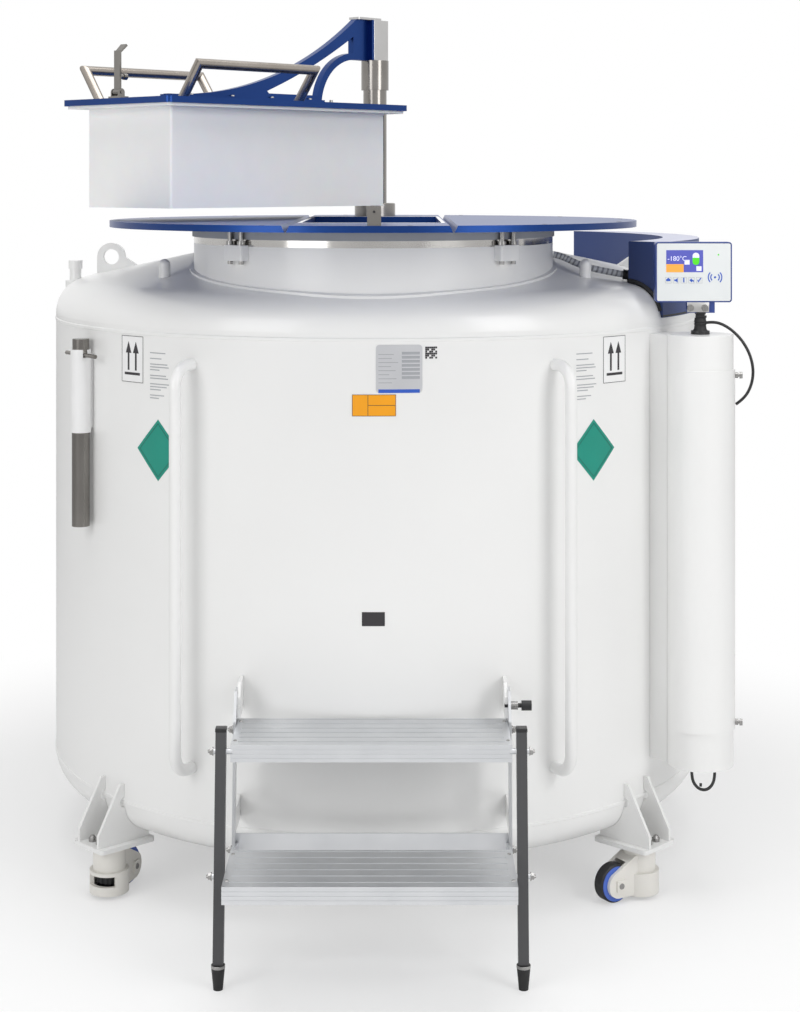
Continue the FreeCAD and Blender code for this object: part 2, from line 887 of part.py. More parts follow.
def handrails():
    rails = []
    for side in (-1, 1):
        angle = -90 + side * (90 - rail_angle)
        away = polar(1, angle)
        wall = away * (tank_radius - 10)
        out = away * rail_reach
        near = away * (rail_reach - rail_bend)
        bend = rail_bend * (1 - cos(radians(45)))
        corner = away * (rail_reach - bend)
        edges = [
            line(wall + up * rail_low, near + up * rail_low),
            arc(
                near + up * rail_low,
                corner + up * (rail_low + bend),
                out + up * (rail_low + rail_bend),
            ),
            line(out + up * (rail_low + rail_bend), out + up * (rail_high - rail_bend)),
            arc(
                out + up * (rail_high - rail_bend),
                corner + up * (rail_high - bend),
                near + up * rail_high,
            ),
            line(near + up * rail_high, wall + up * rail_high),
        ]
        path = Part.Wire(edges)
        circle = Part.Wire([Part.makeCircle(rail_tube, wall + up * rail_low, away)])
        rail = path.makePipeShell([circle], True, True)
        rails.append(rail.cut(tank_form(weld_gap)))
    keep("handrails", *rails)


def caster_bracket():
    """One bracket drawn along +X: a base plate hung from two gussets."""
    plate_top = bracket_underside + bracket_plate
    half = bracket_width / 2
    plate = block(bracket_inner, bracket_outer, -half, half, bracket_underside, plate_top)
    plate = rounded_vertical(plate, 10)
    gussets = []
    for side in (-1, 1):
        y = side * gusset_spacing / 2 - gusset_thickness / 2
        gusset = prism(
            [
                vec(bracket_inner + 8, y, plate_top - 1),
                vec(bracket_outer - 3, y, plate_top - 1),
                vec(bracket_outer - 3, y, plate_top + gusset_lip),
                vec(tank_radius + 10, y, gusset_top),
                vec(tank_radius - 20, y, gusset_top),
                vec(bracket_inner + 8, y, gusset_top - 60),
            ],
            vec(0, gusset_thickness, 0),
        )
        relief = rod(vec(tank_radius, y, seam_low), seam_cutout, gusset_thickness, vec(0, 1, 0))
        gussets.append(gusset.cut(relief))
    whole = fused([plate] + gussets).cut(tank_form(weld_gap))
    for x in (-1, 1):
        for y in (-1, 1):
            spot = vec(caster_reach + x * bolt_square / 2, y * bolt_square / 2 * 0.4, bracket_underside)
            whole = whole.cut(rod(spot - up, bolt_radius + 0.3, bracket_plate + 2))
    return whole


def caster_bolt_set():
    """Four bolts with domed nuts, which hold one caster to its bracket."""
    bolts = []
    plate_top = bracket_underside + bracket_plate
    for x in (-1, 1):
        for y in (-1, 1):
            spot = vec(caster_reach + x * bolt_square / 2, y * bolt_square / 2 * 0.4, 0)
            low = bracket_underside - flange_plate - mount_gap
            shaft = rod(spot + up * low, bolt_radius, plate_top - low + 4)
            nut = rod(spot + up * (plate_top + 0.3), 9, 8)
            dome = Part.makeCone(8.5, 4, 6, spot + up * (plate_top + 8.3))
            bolts.append(fused([shaft, nut, dome]))
    return bolts


def caster_parts():
    """Housing, wheel and levelling pad of one caster, drawn with the wheel towards +X."""
    flange_low = bracket_underside - mount_gap - flange_plate
    bowl = rod(vec(0, 0, housing_bottom), housing_radius, housing_top - housing_bottom)
    neck_up = rod(vec(0, 0, housing_top - 1), turntable_radius, flange_low - 0.3 - housing_top + 1)
    half = wheel_width / 2 + fork_gap + fork_wall
    cheek = Part.Wire([
        line(vec(0, 0, housing_bottom + 4), vec(wheel_offset, 0, wheel_radius - 30)),
        arc(
            vec(wheel_offset, 0, wheel_radius - 30),
            vec(wheel_offset + 30, 0, wheel_radius),
            vec(wheel_offset + 18, 0, wheel_radius + 24),
        ),
        line(vec(wheel_offset + 18, 0, wheel_radius + 24), vec(34, 0, flange_low - 8)),
        line(vec(34, 0, flange_low - 8), vec(0, 0, flange_low - 8)),
        line(vec(0, 0, flange_low - 8), vec(0, 0, housing_bottom + 4)),
    ])
    cheeks = Part.Face(cheek).extrude(vec(0, 2 * half, 0))
    cheeks = shift(cheeks, 0, -half, 0)
    boss = block(wheel_offset - 14, wheel_offset + 10, -half - 5, half + 5, wheel_radius - 14, wheel_radius + 12)
    body = fused([bowl, neck_up, cheeks, boss])
    slot_half = wheel_width / 2 + fork_gap
    well = block(
        wheel_offset - wheel_radius - 3, wheel_offset + wheel_radius + 20,
        -slot_half, slot_half,
        0, wheel_radius * 2 + 3,
    )
    body = body.cut(well)
    bore = rod(vec(0, 0, housing_bottom - 1), housing_bore, housing_top - 7 - housing_bottom)
    body = body.cut(bore)
    screw_hole = rod(vec(0, 0, housing_bottom), screw_radius + screw_clearance, flange_low - housing_bottom - 12)
    body = body.cut(screw_hole)
    opening = block(-housing_radius - 10, 0, -housing_radius, housing_radius, 30, housing_top - 8)
    wedge = prism(
        [
            vec(0, 0, 30),
            vec(-80, -80 * tan(radians(window_angle / 2)), 30),
            vec(-80, 80 * tan(radians(window_angle / 2)), 30),
        ],
        vec(0, 0, housing_top - 8 - 30),
    )
    body = body.cut(opening.common(wedge))
    axle = rod(vec(wheel_offset, -half, wheel_radius), axle_radius, 2 * half, vec(0, 1, 0))
    body = body.fuse(axle).removeSplitter()
    wheel = rod(vec(wheel_offset, -wheel_width / 2, wheel_radius), wheel_radius, wheel_width, vec(0, 1, 0))
    rims = [edge for edge in wheel.Edges if abs(edge.Length - 2 * pi * wheel_radius) < 1]
    wheel = wheel.makeChamfer(3, rims)
    recess = ring(
        vec(wheel_offset, wheel_width / 2 - 3, wheel_radius), wheel_radius - 12, 14, 4, vec(0, 1, 0)
    )
    wheel = wheel.cut(recess).cut(shift(recess, 0, -wheel_width + 2, 0))
    bush = rod(
        vec(wheel_offset, -wheel_width, wheel_radius), axle_radius + axle_clearance, 2 * wheel_width, vec(0, 1, 0)
    )
    wheel = wheel.cut(bush)
    pad = rod(vec(0, 0, pad_rest), pad_radius, pad_thickness)
    screw = rod(vec(0, 0, pad_rest), screw_radius, flange_low - 16 - pad_rest)
    gear_low = 33
    gear = rod(vec(0, 0, gear_low), gear_radius, gear_height)
    pitch = 360.0 / gear_teeth
    for index in range(gear_teeth):
        notch = rod(polar(gear_radius + 1, pitch * index, gear_low - 1), 4, gear_height + 2)
        gear = gear.cut(notch)
    pad = fused([pad, screw, gear])
    return body, wheel, pad


def casters():
    body, wheel, pad = caster_parts()
    bracket = caster_bracket()
    bolts = caster_bolt_set()
    top_plate = block(
        -flange_side / 2, flange_side / 2, -flange_side * 0.38, flange_side * 0.38,
        bracket_underside - mount_gap - flange_plate, bracket_underside - mount_gap,
    )
    top_plate = rounded_vertical(top_plate, 8)
    brackets = []
    nuts = []
    flanges = []
    places = {
        "front_right": (-caster_azimuth, 212.5),
        "front_left": (180 + caster_azimuth, 70.0),
        "rear_left": (180 - caster_azimuth, 30.0),
        "rear_right": (caster_azimuth, 155.0),
    }
    for name, (azimuth, heading) in places.items():
        centre = polar(caster_reach, azimuth)
        brackets.append(turn(bracket, azimuth))
        nuts.extend(turn(bolt, azimuth) for bolt in bolts)
        plate = top_plate
        for x in (-1, 1):
            for y in (-1, 1):
                spot = vec(x * bolt_square / 2, y * bolt_square / 2 * 0.4, bracket_underside - 20)
                plate = plate.cut(rod(spot, bolt_radius + 0.3, 40))
        flanges.append(shift(turn(plate, azimuth), centre.x, centre.y))
        for label, shape in (("housing", body), ("wheel", wheel), ("pad", pad)):
            placed = shift(turn(shape, heading), centre.x, centre.y)
            keep("caster_" + label + "_" + name, placed)
    keep("caster_brackets", *brackets)
    keep("caster_flanges", *flanges)
    return nuts


def tread(back, front, top, side_points):
    """A ribbed tread: side plates, slotted deck and a deep grooved nosing."""
    half = tread_half
    low = top - tread_depth
    skin = block(-half, half, -front, -back, top - tread_skin, top)
    nosing = block(-half, half, -front, -front + nosing_depth, low, top)
    rear = block(-half, half, -back - 6, -back, top - 22, top)
    whole = [skin, nosing, rear]
    for side in (-1, 1):
        x0 = min(side * half, side * (half - tread_end))
        outline = [vec(x0, y, z) for y, z in side_points]
        whole.append(prism(outline, vec(tread_end, 0, 0)))
    pitch = (front - back - nosing_depth - 12) / tread_slots
    solid = fused(whole)
    for index in range(tread_slots):
        y = -back - 8 - pitch * (index + 0.5)
        rib = block(-half + 1, half - 1, y - 3, y + 3, top - 14, top - tread_skin + 0.5)
        solid = solid.fuse(rib)
    solid = solid.removeSplitter()
    for index in range(3):
        z = low + 8 + index * 9
        groove = block(-half - 1, half + 1, -front - 1, -front + 1.2, z, z + 4)
        solid = solid.cut(groove)
    for index in range(tread_slots + 1):
        y = -back - 8 - pitch * index - 1.5
        groove = block(-half + 14, half - 14, y - 3, y + 3, top - 1.2, top + 1)
        solid = solid.cut(groove)
    return solid


def pivot_studs(y, z, start, length):
    """A pair of stub pins that stand out sideways from a tread."""
    pins = []
    for side in (-1, 1):
        base = vec(side * start, -y, z)
        pins.append(rod(base, step_pin, length, vec(side, 0, 0)))
    return pins


def pivot_eyes(y, z):
    """Rounded ears on a tread's side plates, round its pivots."""
    eyes = []
    for side in (-1, 1):
        x0 = min(side * tread_half, side * (tread_half - tread_end))
        eyes.append(rod(vec(x0, -y, z), pivot_eye, tread_end, vec(1, 0, 0)))
    return eyes


def step_parts():
    """Two treads that swing up together while the legs stay upright."""
    lean = pivot_lean / pivot_drop
    low_z = rear_pivot_z - pivot_drop
    low_rear_y = rear_pivot_y + pivot_lean
    low_front_y = front_pivot_y + pivot_lean
    rail_out = rail_bar_in + rail_bar
    pin_start = tread_half - tread_end
    short_pin = rail_out - pin_start + 1.5
    long_pin = leg_in + leg_tube - pin_start + 5
    upper_low = upper_top - tread_depth
    upper_side = [
        (-upper_front, upper_low),
        (-upper_back, upper_low),
        (-upper_back, upper_top),
        (-upper_front, upper_top),
    ]
    upper = tread(upper_back, upper_front, upper_top, upper_side)
    upper = fused([upper] + pivot_studs(rear_pivot_y, rear_pivot_z, pin_start, short_pin)
                  + pivot_studs(front_pivot_y, rear_pivot_z, pin_start, long_pin))
    keep("upper_tread", upper)
    lower_low = lower_top - tread_depth
    lower_side = [
        (-lower_front, lower_low),
        (-low_front_y - 30, lower_low),
        (-low_front_y - 6, low_z - pivot_eye + 1),
        (-low_rear_y, low_z - pivot_eye + 1),
        (-low_rear_y, low_z + pivot_eye - 1),
        (-lower_back, lower_top),
        (-lower_front, lower_top),
    ]
    lower = tread(lower_back, lower_front, lower_top, lower_side)
    lower = fused([lower] + pivot_studs(low_rear_y, low_z, pin_start, short_pin)
                  + pivot_studs(low_front_y, low_z, pin_start, long_pin)
                  + pivot_eyes(low_rear_y, low_z) + pivot_eyes(low_front_y, low_z))
    keep("lower_tread", lower)
    bars = []
    legs = []
    feet = []
    plates = []
    half = rail_bar_width / 2
    for side in (-1, 1):
        bar_points = [
            vec(0, -rear_pivot_y - half, rear_pivot_z - 4),
            vec(0, -low_rear_y - half, low_z - 12),
            vec(0, -low_rear_y + half, low_z - 12),
            vec(0, -rear_pivot_y + half + 2, rear_pivot_z - 20),
            vec(0, -rear_pivot_y + 60, rear_pivot_z + 20),
            vec(0, -rear_pivot_y + 60, step_plate_high - 14),
            vec(0, -rear_pivot_y + 20, step_plate_high - 14),
            vec(0, -rear_pivot_y - half, rear_pivot_z + 20),
        ]
        bar = prism(bar_points, vec(rail_bar, 0, 0))
        bar = shift(bar, rail_bar_in, 0, 0)
        for y, z in ((rear_pivot_y, rear_pivot_z), (low_rear_y, low_z)):
            bar = bar.cut(rod(vec(rail_bar_in - 1, -y, z), step_pin + pin_clearance, rail_bar + 2, vec(1, 0, 0)))
        bar = bar.cut(rod(vec(rail_bar_in - 1, -plunger_y, plunger_z), plunger_body + 0.3, rail_bar + 2, vec(1, 0, 0)))
        bars.append(bar if side > 0 else mirror_x(bar))
        plate_out = rail_bar_in - 0.3
        high_plate = prism(
            [
                vec(0, -step_plate_reach, step_plate_low),
                vec(0, -step_plate_reach, step_plate_high - 26),
                vec(0, -step_plate_reach + 26, step_plate_high),
                vec(0, -step_plate_start, step_plate_high),
                vec(0, -step_plate_start, step_plate_low),
            ],
            vec(step_plate, 0, 0),
        )
        high_plate = shift(high_plate, plate_out - step_plate, 0, 0)
        high_plate = high_plate.cut(tank_form(weld_gap))
        hole = rod(vec(plate_out - step_plate - 1, -plunger_y, plunger_z), plunger_radius + 0.3, 12, vec(1, 0, 0))
        high_plate = high_plate.cut(hole)
        plates.append(high_plate if side > 0 else mirror_x(high_plate))
        low_plate = block(
            rail_bar_in, rail_bar_in + rail_bar,
            -low_rear_y, -step_plate_start,
            low_plate_low, low_plate_high,
        )
        low_plate = low_plate.cut(shift(bar, 0, weld_gap, 0)).cut(tank_form(weld_gap))
        plates.append(low_plate if side > 0 else mirror_x(low_plate))
        top_y = front_pivot_y - lean * leg_over
        foot_y = front_pivot_y + lean * (rear_pivot_z - foot_height)
        half_leg = leg_tube / 2
        leg_points = [
            vec(0, -top_y - half_leg, rear_pivot_z + leg_over),
            vec(0, -foot_y - half_leg, foot_height),
            vec(0, -foot_y + half_leg, foot_height),
            vec(0, -top_y + half_leg, rear_pivot_z + leg_over),
        ]
        leg = shift(prism(leg_points, vec(leg_tube, 0, 0)), leg_in, 0, 0)
        bores = ((front_pivot_y, rear_pivot_z, pin_clearance), (low_front_y, low_z, loose_pin_clearance))
        for y, z, clearance in bores:
            leg = leg.cut(rod(vec(leg_in - 1, -y, z), step_pin + clearance, leg_tube + 2, vec(1, 0, 0)))
        legs.append(leg if side > 0 else mirror_x(leg))
        ground_y = front_pivot_y + lean * rear_pivot_z
        place = vec(leg_middle, -(foot_y + ground_y) / 2, 0)
        cone = Part.makeCone(foot_bottom, foot_top, foot_height - 10, place)
        collar = rod(place + up * (foot_height - 10), foot_top, 9.7)
        foot = fused([cone, collar])
        feet.append(foot if side > 0 else mirror_x(foot))
    cross = block(
        -rail_bar_in + 0.2, rail_bar_in - 0.2,
        -low_rear_y + 16, -low_rear_y + 16 + cross_plate,
        cross_low, cross_low + cross_height,
    )
    keep("step_legs", *legs)
    keep("step_feet", *feet)
    keep("step_plates", *plates)
    keep("step_rails", cross, *bars)
    start = rail_bar_in - step_plate - 0.3
    pin = rod(vec(start, -plunger_y, plunger_z), plunger_radius, 46, vec(1, 0, 0))
    knob = rod(vec(rail_out + 24, -plunger_y, plunger_z), plunger_knob, 22, vec(1, 0, 0))
    keep("plunger", fused([pin, knob]))
    sleeve = ring(
        vec(rail_bar_in, -plunger_y, plunger_z), plunger_body, plunger_radius + plunger_gap, 22, vec(1, 0, 0)
    )
    return [sleeve]


def probe_parts():
    """Tall tube for the level probe, its mounting strip and its curved cover."""
    centre = polar(probe_reach, -probe_azimuth)
    tube = rod(centre + up * probe_low, probe_radius, probe_high - probe_low)
    keep("probe_tube", tube)
    strip = block(
        tank_radius - 12, probe_reach - 40,
        -strip_width / 2, strip_width / 2,
        probe_low + 3, probe_high - 2,
    )
    strip = turn(strip, -probe_azimuth).cut(tank_form(weld_gap))
    strip = strip.cut(rod(centre + up * (probe_low - 5), probe_radius + weld_gap, probe_high - probe_low + 10))
    keep("probe_strip", strip)
    inside = probe_radius + cover_gap
    band = ring(vec(0, 0, cover_low), inside + cover_wall, inside, cover_high - cover_low)
    far = 400
    keep_zone = prism(
        [
            vec(0, 0, cover_low),
            vec(far, 0, cover_low),
            vec(far, far, cover_low),
            vec(far * cos(radians(cover_sweep)), far * sin(radians(cover_sweep)), cover_low),
        ],
        vec(0, 0, cover_high - cover_low),
    )
    cover = band.common(keep_zone)
    cover = shift(turn(cover, cover_start), centre.x, centre.y)
    for angle, side in ((cover_start, 1), (cover_start + cover_sweep, -1)):
        for height, lift in ((cover_low, 1), (cover_high, -1)):
            round_part = rod(vec(0, side * cover_corner, lift * cover_corner), cover_corner, far, vec(1, 0, 0))
            reach = block(0, far, min(0, side * cover_corner), max(0, side * cover_corner),
                          min(0, lift * cover_corner), max(0, lift * cover_corner))
            quarter = reach.cut(round_part)
            quarter = shift(turn(quarter, angle), centre.x, centre.y, height)
            cover = cover.cut(quarter)
    keep("probe_cover", cover)
    screws = []
    for height in (cover_low + 14, cover_high - 14):
        base = centre + polar(inside + cover_wall + 0.1, -13, height)
        screws.append(rod(base, 7, 7, polar(1, -13)))
    return screws


def panel_parts():
    """Control panel on a stem that turns in a socket on top of the probe tube."""
    centre = polar(probe_reach, -probe_azimuth)
    socket_low = probe_high + 0.3
    base = rod(centre + up * socket_low, socket_radius, socket_height)
    collar = rod(centre + up * socket_low, socket_collar, socket_rise)
    bore = rod(centre + up * (socket_low + 4), socket_bore + socket_clearance, socket_rise)
    keep("panel_socket", fused([base, collar]).cut(bore))
    stem_low = socket_low + 4.3
    fork_low = panel_hinge_z - 16
    stem = rod(centre + up * stem_low, socket_bore, fork_low - stem_low + 2)
    shoulder = rod(centre + up * (socket_low + socket_rise + 0.3), stem_radius, fork_low - socket_low - socket_rise)
    fork = block(-11, 11, -12, 12, fork_low, panel_hinge_z)
    fork = fork.fuse(rod(vec(-11, 0, panel_hinge_z), 10, 22, vec(1, 0, 0)))
    fork = shift(fork, centre.x, centre.y)
    pin = rod(centre + vec(-24, 0, panel_hinge_z), 4, 48, vec(1, 0, 0))
    keep("panel_stem", fused([stem, shoulder, fork, pin]))
    half = arm_block_width / 2
    clamp = block(-half, half, -14, 14, panel_hinge_z - 12, panel_low + 6)
    gap = block(-11.5, 11.5, -20, 20, panel_hinge_z - 13, panel_hinge_z + 11)
    bore = rod(vec(-half - 1, 0, panel_hinge_z), 4.1, arm_block_width + 2, vec(1, 0, 0))
    clamp = clamp.cut(gap).cut(bore)
    x_mid = panel_offset
    case = block(
        x_mid - panel_width / 2, x_mid + panel_width / 2,
        -panel_depth / 2, panel_depth / 2,
        panel_low, panel_low + panel_height,
    )
    case_edges = [edge for edge in case.Edges if abs(edge.BoundBox.YLength - panel_depth) < 0.01]
    case = case.makeFillet(panel_corner, case_edges)
    window = block(
        x_mid - panel_width / 2 + 3, x_mid + panel_width / 2 - 3,
        -panel_depth / 2 - 1, -panel_depth / 2 + panel_glass,
        panel_low + 3, panel_low + panel_height - 3,
    )
    case = fused([case, clamp]).cut(window)
    keep("panel_case", shift(case, centre.x, centre.y))
    glass = block(
        x_mid - panel_width / 2 + 3.3, x_mid + panel_width / 2 - 3.3,
        -panel_depth / 2 - 0.8, -panel_depth / 2 + panel_glass - 0.2,
        panel_low + 3.3, panel_low + panel_height - 3.3,
    )
    glass_edges = [edge for edge in glass.Edges if edge.BoundBox.YLength > panel_glass - 1]
    glass_edges = [edge for edge in glass_edges if edge.BoundBox.XLength + edge.BoundBox.ZLength < 0.01]
    keep("panel_glass", shift(glass.makeFillet(panel_corner - 3, glass_edges), centre.x, centre.y))


def duct():
    """Blue arc-shaped cover on the shoulder for the filling hose and its valves."""
    band = ring(vec(0, 0, duct_skirt), duct_outer, duct_inner, duct_top - duct_skirt)
    zone_points = [vec(0, 0, duct_skirt)]
    for index in range(4):
        angle = duct_start + duct_sweep * index / 3
        zone_points.append(polar(1400, angle, duct_skirt))
    zone = prism(zone_points, vec(0, 0, duct_top - duct_skirt))
    shell = band.common(zone)
    hollow = ring(
        vec(0, 0, duct_skirt - 1), duct_outer - duct_wall, duct_inner + duct_wall,
        duct_top - duct_wall - duct_skirt + 1,
    )
    inset = duct_wall / duct_outer * 180 / pi
    inner_points = [vec(0, 0, duct_skirt - 1)]
    for index in range(4):
        angle = duct_start + inset + (duct_sweep - 2 * inset) * index / 3
        inner_points.append(polar(1400, angle, duct_skirt - 1))
    inner_zone = prism(inner_points, vec(0, 0, duct_top))
    shell = shell.cut(hollow.common(inner_zone)).cut(tank_form(duct_gap))
    keep("hose_duct", shell)


def tool():
    """Release tool in a white sleeve on the left: a polished tube with a cross bar."""
    centre = polar(tool_reach, tool_azimuth)
    sleeve = ring(centre + up * sleeve_low, sleeve_tube, sleeve_bore, sleeve_high - sleeve_low)
    foot = block(tank_radius - 10, tool_reach - sleeve_bore - 1, -9, 9, sleeve_low + 10, sleeve_high - 10)
    foot = turn(foot, tool_azimuth).cut(tank_form(weld_gap))
    sleeve = fused([sleeve, foot])
    slot = block(-60, 60, -tbar_radius - 1, tbar_radius + 1, tbar_height - tbar_radius - 1, sleeve_high + 1)
    slot = shift(turn(slot, tool_azimuth + 90), centre.x, centre.y)
    keep("tool_sleeve", sleeve.cut(slot))
    body = rod(centre + up * tool_low, tool_radius, sleeve_high - tool_low)
    head = rod(centre + up * sleeve_high, tool_head_radius, tool_head)
    bar = rod(
        centre + polar(-tbar_length / 2, tool_azimuth + 90, tbar_height), tbar_radius, tbar_length,
        polar(1, tool_azimuth + 90),
    )
    keep("release_tool", fused([body, head, bar]))


def cords():
    """The hose and the two cables, with their bend radii printed for a check."""
    routes = (
        ("fill_hose", hose_points, hose_radius),
        ("panel_cable", panel_cable_points, cable_radius),
        ("loop_cable", loop_cable_points, cable_radius),
    )
    for name, points, radius in routes:
        pipe, path, bends = tube_along(points, radius)
        print(name, round(path.Length), "mm, bend radii", [round(bend) for bend in bends])
        keep(name, pipe)


outer_vessel()
carousel_seat = inner_vessel()
neck_parts()
deck_parts()
fasteners = deck_clamps()
lift_guide()
lift_column()
lid_arm()
lid_parts()
lid_handles()
latch()
carousel(carousel_seat)
lifting_lugs()
ports()
handrails()
fasteners += casters()
fasteners += step_parts()
fasteners += probe_parts()
panel_parts()
duct()
tool()
cords()
keep("tank_fasteners", *fasteners)

os.makedirs("parts", exist_ok=True)
for node, shape in PIECES.items():
    shape.exportStep("parts/" + node + ".step")
print(len(PIECES), "nodes")
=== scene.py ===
# %% [markdown]
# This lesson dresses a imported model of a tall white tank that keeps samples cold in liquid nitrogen.
# The solids come from the CAD frame and stay as they are. Blender adds finishes, labels, trim and light.

# %% Load the frame
import bpy
import bmesh
from math import cos, pi, radians, sin, sqrt
from mathutils import Matrix, Vector


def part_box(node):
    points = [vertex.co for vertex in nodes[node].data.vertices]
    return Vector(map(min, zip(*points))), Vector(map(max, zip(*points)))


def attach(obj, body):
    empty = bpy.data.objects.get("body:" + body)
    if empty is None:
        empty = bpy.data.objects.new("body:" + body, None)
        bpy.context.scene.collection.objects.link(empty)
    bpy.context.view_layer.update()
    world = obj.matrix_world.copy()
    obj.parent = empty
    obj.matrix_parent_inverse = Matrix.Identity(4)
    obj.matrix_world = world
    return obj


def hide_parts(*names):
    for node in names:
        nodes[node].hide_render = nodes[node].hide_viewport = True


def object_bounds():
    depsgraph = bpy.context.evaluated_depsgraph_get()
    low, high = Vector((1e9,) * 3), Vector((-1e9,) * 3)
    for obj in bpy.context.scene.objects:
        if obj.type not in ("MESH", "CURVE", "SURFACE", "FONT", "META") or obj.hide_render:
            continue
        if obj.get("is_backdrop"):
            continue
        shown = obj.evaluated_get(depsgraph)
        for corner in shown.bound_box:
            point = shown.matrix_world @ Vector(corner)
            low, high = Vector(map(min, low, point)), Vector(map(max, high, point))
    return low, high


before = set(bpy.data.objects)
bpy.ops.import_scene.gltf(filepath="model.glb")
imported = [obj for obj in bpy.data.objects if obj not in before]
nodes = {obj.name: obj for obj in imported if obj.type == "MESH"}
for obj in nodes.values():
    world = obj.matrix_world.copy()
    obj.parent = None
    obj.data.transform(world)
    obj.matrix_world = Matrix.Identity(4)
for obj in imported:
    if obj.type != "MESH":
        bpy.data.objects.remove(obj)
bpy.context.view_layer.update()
scene = bpy.context.scene
MM = 0.001


def at(x, y, z=0.0):
    """A point given in millimetres, as a vector in metres."""
    return Vector((x, y, z)) * MM


# %% [markdown]
# The photograph looks level at the tank from 5 m away, with the horizon at the raised lid. A lens
# shift moves the picture down to the floor, so the tank's sides stay upright, where a tilted
# camera would make them lean.

# %% Camera
photo_height = 1012
focal_pixels = 1899
horizon_row = 179.6
sensor_side = 36.0
camera_place = (60.5, -5048, 1680)
camera = bpy.data.objects.new("camera", bpy.data.cameras.new("camera"))
scene.collection.objects.link(camera)
camera.location = at(*camera_place)
camera.rotation_euler = (radians(90), 0, 0)
camera.data.sensor_fit = "VERTICAL"
camera.data.sensor_height = sensor_side
camera.data.sensor_width = sensor_side
camera.data.lens = sensor_side * focal_pixels / photo_height
camera.data.shift_y = -(photo_height / 2 - horizon_row) / photo_height
camera.data.clip_end = 60
scene.camera = camera
print("lens", round(camera.data.lens, 2), "shift", round(camera.data.shift_y, 4))

# %% [markdown]
# A cord starts as one smooth curve. Its control points repeat the route in the CAD source, and the
# NURBS spline rounds every corner by itself, so the cord bends as a rubber lead does. The round
# section is then turned into a mesh tube, whose box is exactly as large as the cord.

# %% Cords
cable_radius = 3.5
hose_radius = 8.0
panel_cable_route = [
    (784, -560, 1342), (802, -560, 1344), (824, -561, 1338), (848, -563, 1322), (871, -565, 1297),
    (888, -567, 1264), (895, -567, 1228), (890, -565, 1193), (874, -562, 1163), (854, -560, 1149),
]
loop_cable_route = [
    (742, -612, 301.7), (742, -612, 286), (747, -614, 269), (760, -618, 257),
    (777, -620, 257), (790, -618, 269), (795, -616, 286), (795, -616, 301.7),
]
hose_route = [
    (436, -399.7, 1497), (452, -401, 1494), (472, -402, 1485), (500, -404, 1472),
    (534, -405, 1462), (570, -404, 1455), (602, -404, 1449), (627.3, -406.5, 1446),
]


def make_cord(name, route, radius, node):
    """A cord along a route in millimetres, as a mesh tube that stands for a CAD node."""
    curve = bpy.data.curves.new(name, "CURVE")
    curve.dimensions = "3D"
    spline = curve.splines.new("NURBS")
    spline.points.add(len(route) - 1)
    for point, place in zip(spline.points, route):
        point.co = (*at(*place), 1)
    spline.order_u = 3
    spline.use_endpoint_u = True
    spline.resolution_u = 12
    line = bpy.data.objects.new(name + "_line", curve)
    scene.collection.objects.link(line)
    bpy.context.view_layer.update()
    bare_line = bpy.data.meshes.new_from_object(line)
    curve.bevel_depth = radius * MM
    curve.bevel_resolution = 6
    curve.use_fill_caps = True
    bpy.context.view_layer.update()
    tube = bpy.data.meshes.new_from_object(line)
    tube.name = name
    bpy.data.objects.remove(line)
    piece = bpy.data.objects.new(name, tube)
    scene.collection.objects.link(piece)
    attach(piece, "tank")
    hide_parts(node)
    return piece


panel_cable = make_cord("panel_lead", panel_cable_route, cable_radius, "panel_cable")
loop_cable = make_cord("sensor_lead", loop_cable_route, cable_radius, "loop_cable")
fill_hose = make_cord("filling_hose", hose_route, hose_radius, "fill_hose")

# %% [markdown]
# Every finish is a small tree of nodes. One function adds a node with its settings, its fixed
# values and its links, and another turns a web colour, which is how paint charts give it, to
# linear. Two more make what nearly every surface here shares: a colour that drifts between two
# close tones, and a fine relief. Both read the object's own coordinates, so they move with it.

# %% Node helpers


def linear(code):
    """An sRGB colour such as "8899aa" as linear red, green and blue, with full alpha."""
    levels = [int(code[i:i + 2], 16) / 255 for i in (0, 2, 4)]
    return tuple(c / 12.92 if c <= 0.04045 else ((c + 0.055) / 1.055) ** 2.4 for c in levels) + (1.0,)


def add(tree, kind, values=None, links=None, **settings):
    """Add one node: settings on the node, values on its inputs, links into its inputs."""
    node = tree.nodes.new(kind)
    for key, value in settings.items():
        setattr(node, key, value)
    for key, value in (values or {}).items():
        node.inputs[key].default_value = value
    for key, source in (links or {}).items():
        tree.links.new(source, node.inputs[key])
    return node


def finish(name, metallic, roughness):
    """A new material with its shader, its tree and the object's own coordinates."""
    material = bpy.data.materials.new(name)
    material.use_nodes = True
    tree = material.node_tree
    shader = tree.nodes["Principled BSDF"]
    shader.inputs["Metallic"].default_value = metallic
    shader.inputs["Roughness"].default_value = roughness
    place = add(tree, "ShaderNodeTexCoord").outputs["Object"]
    return material, tree, shader, place


def per_metre(millimetres):
    """The scale that gives a noise pattern features of that size."""
    return 1000.0 / millimetres


def two_tones(tree, shader, place, colour, shade, size, detail=2.0):
    """Let the colour drift between two tones, in patches of a size in millimetres."""
    tone = add(tree, "ShaderNodeTexNoise", {"Scale": per_metre(size), "Detail": detail}, {"Vector": place})
    mix = add(tree, "ShaderNodeMix", {6: linear(shade), 7: linear(colour)}, {0: tone.outputs["Fac"]},
              data_type="RGBA")
    tree.links.new(mix.outputs[2], shader.inputs["Base Color"])
    return tone


def relief(tree, shader, place, size, depth, detail, reach=0.0002):
    """Tilt the light with fine bumps of a size in millimetres, and leave the shape alone."""
    pattern = add(tree, "ShaderNodeTexNoise", {"Scale": per_metre(size), "Detail": detail},
                  {"Vector": place})
    bump = add(tree, "ShaderNodeBump", {"Strength": depth, "Distance": reach},
               {"Height": pattern.outputs["Fac"]})
    tree.links.new(bump.outputs["Normal"], shader.inputs["Normal"])
    return pattern


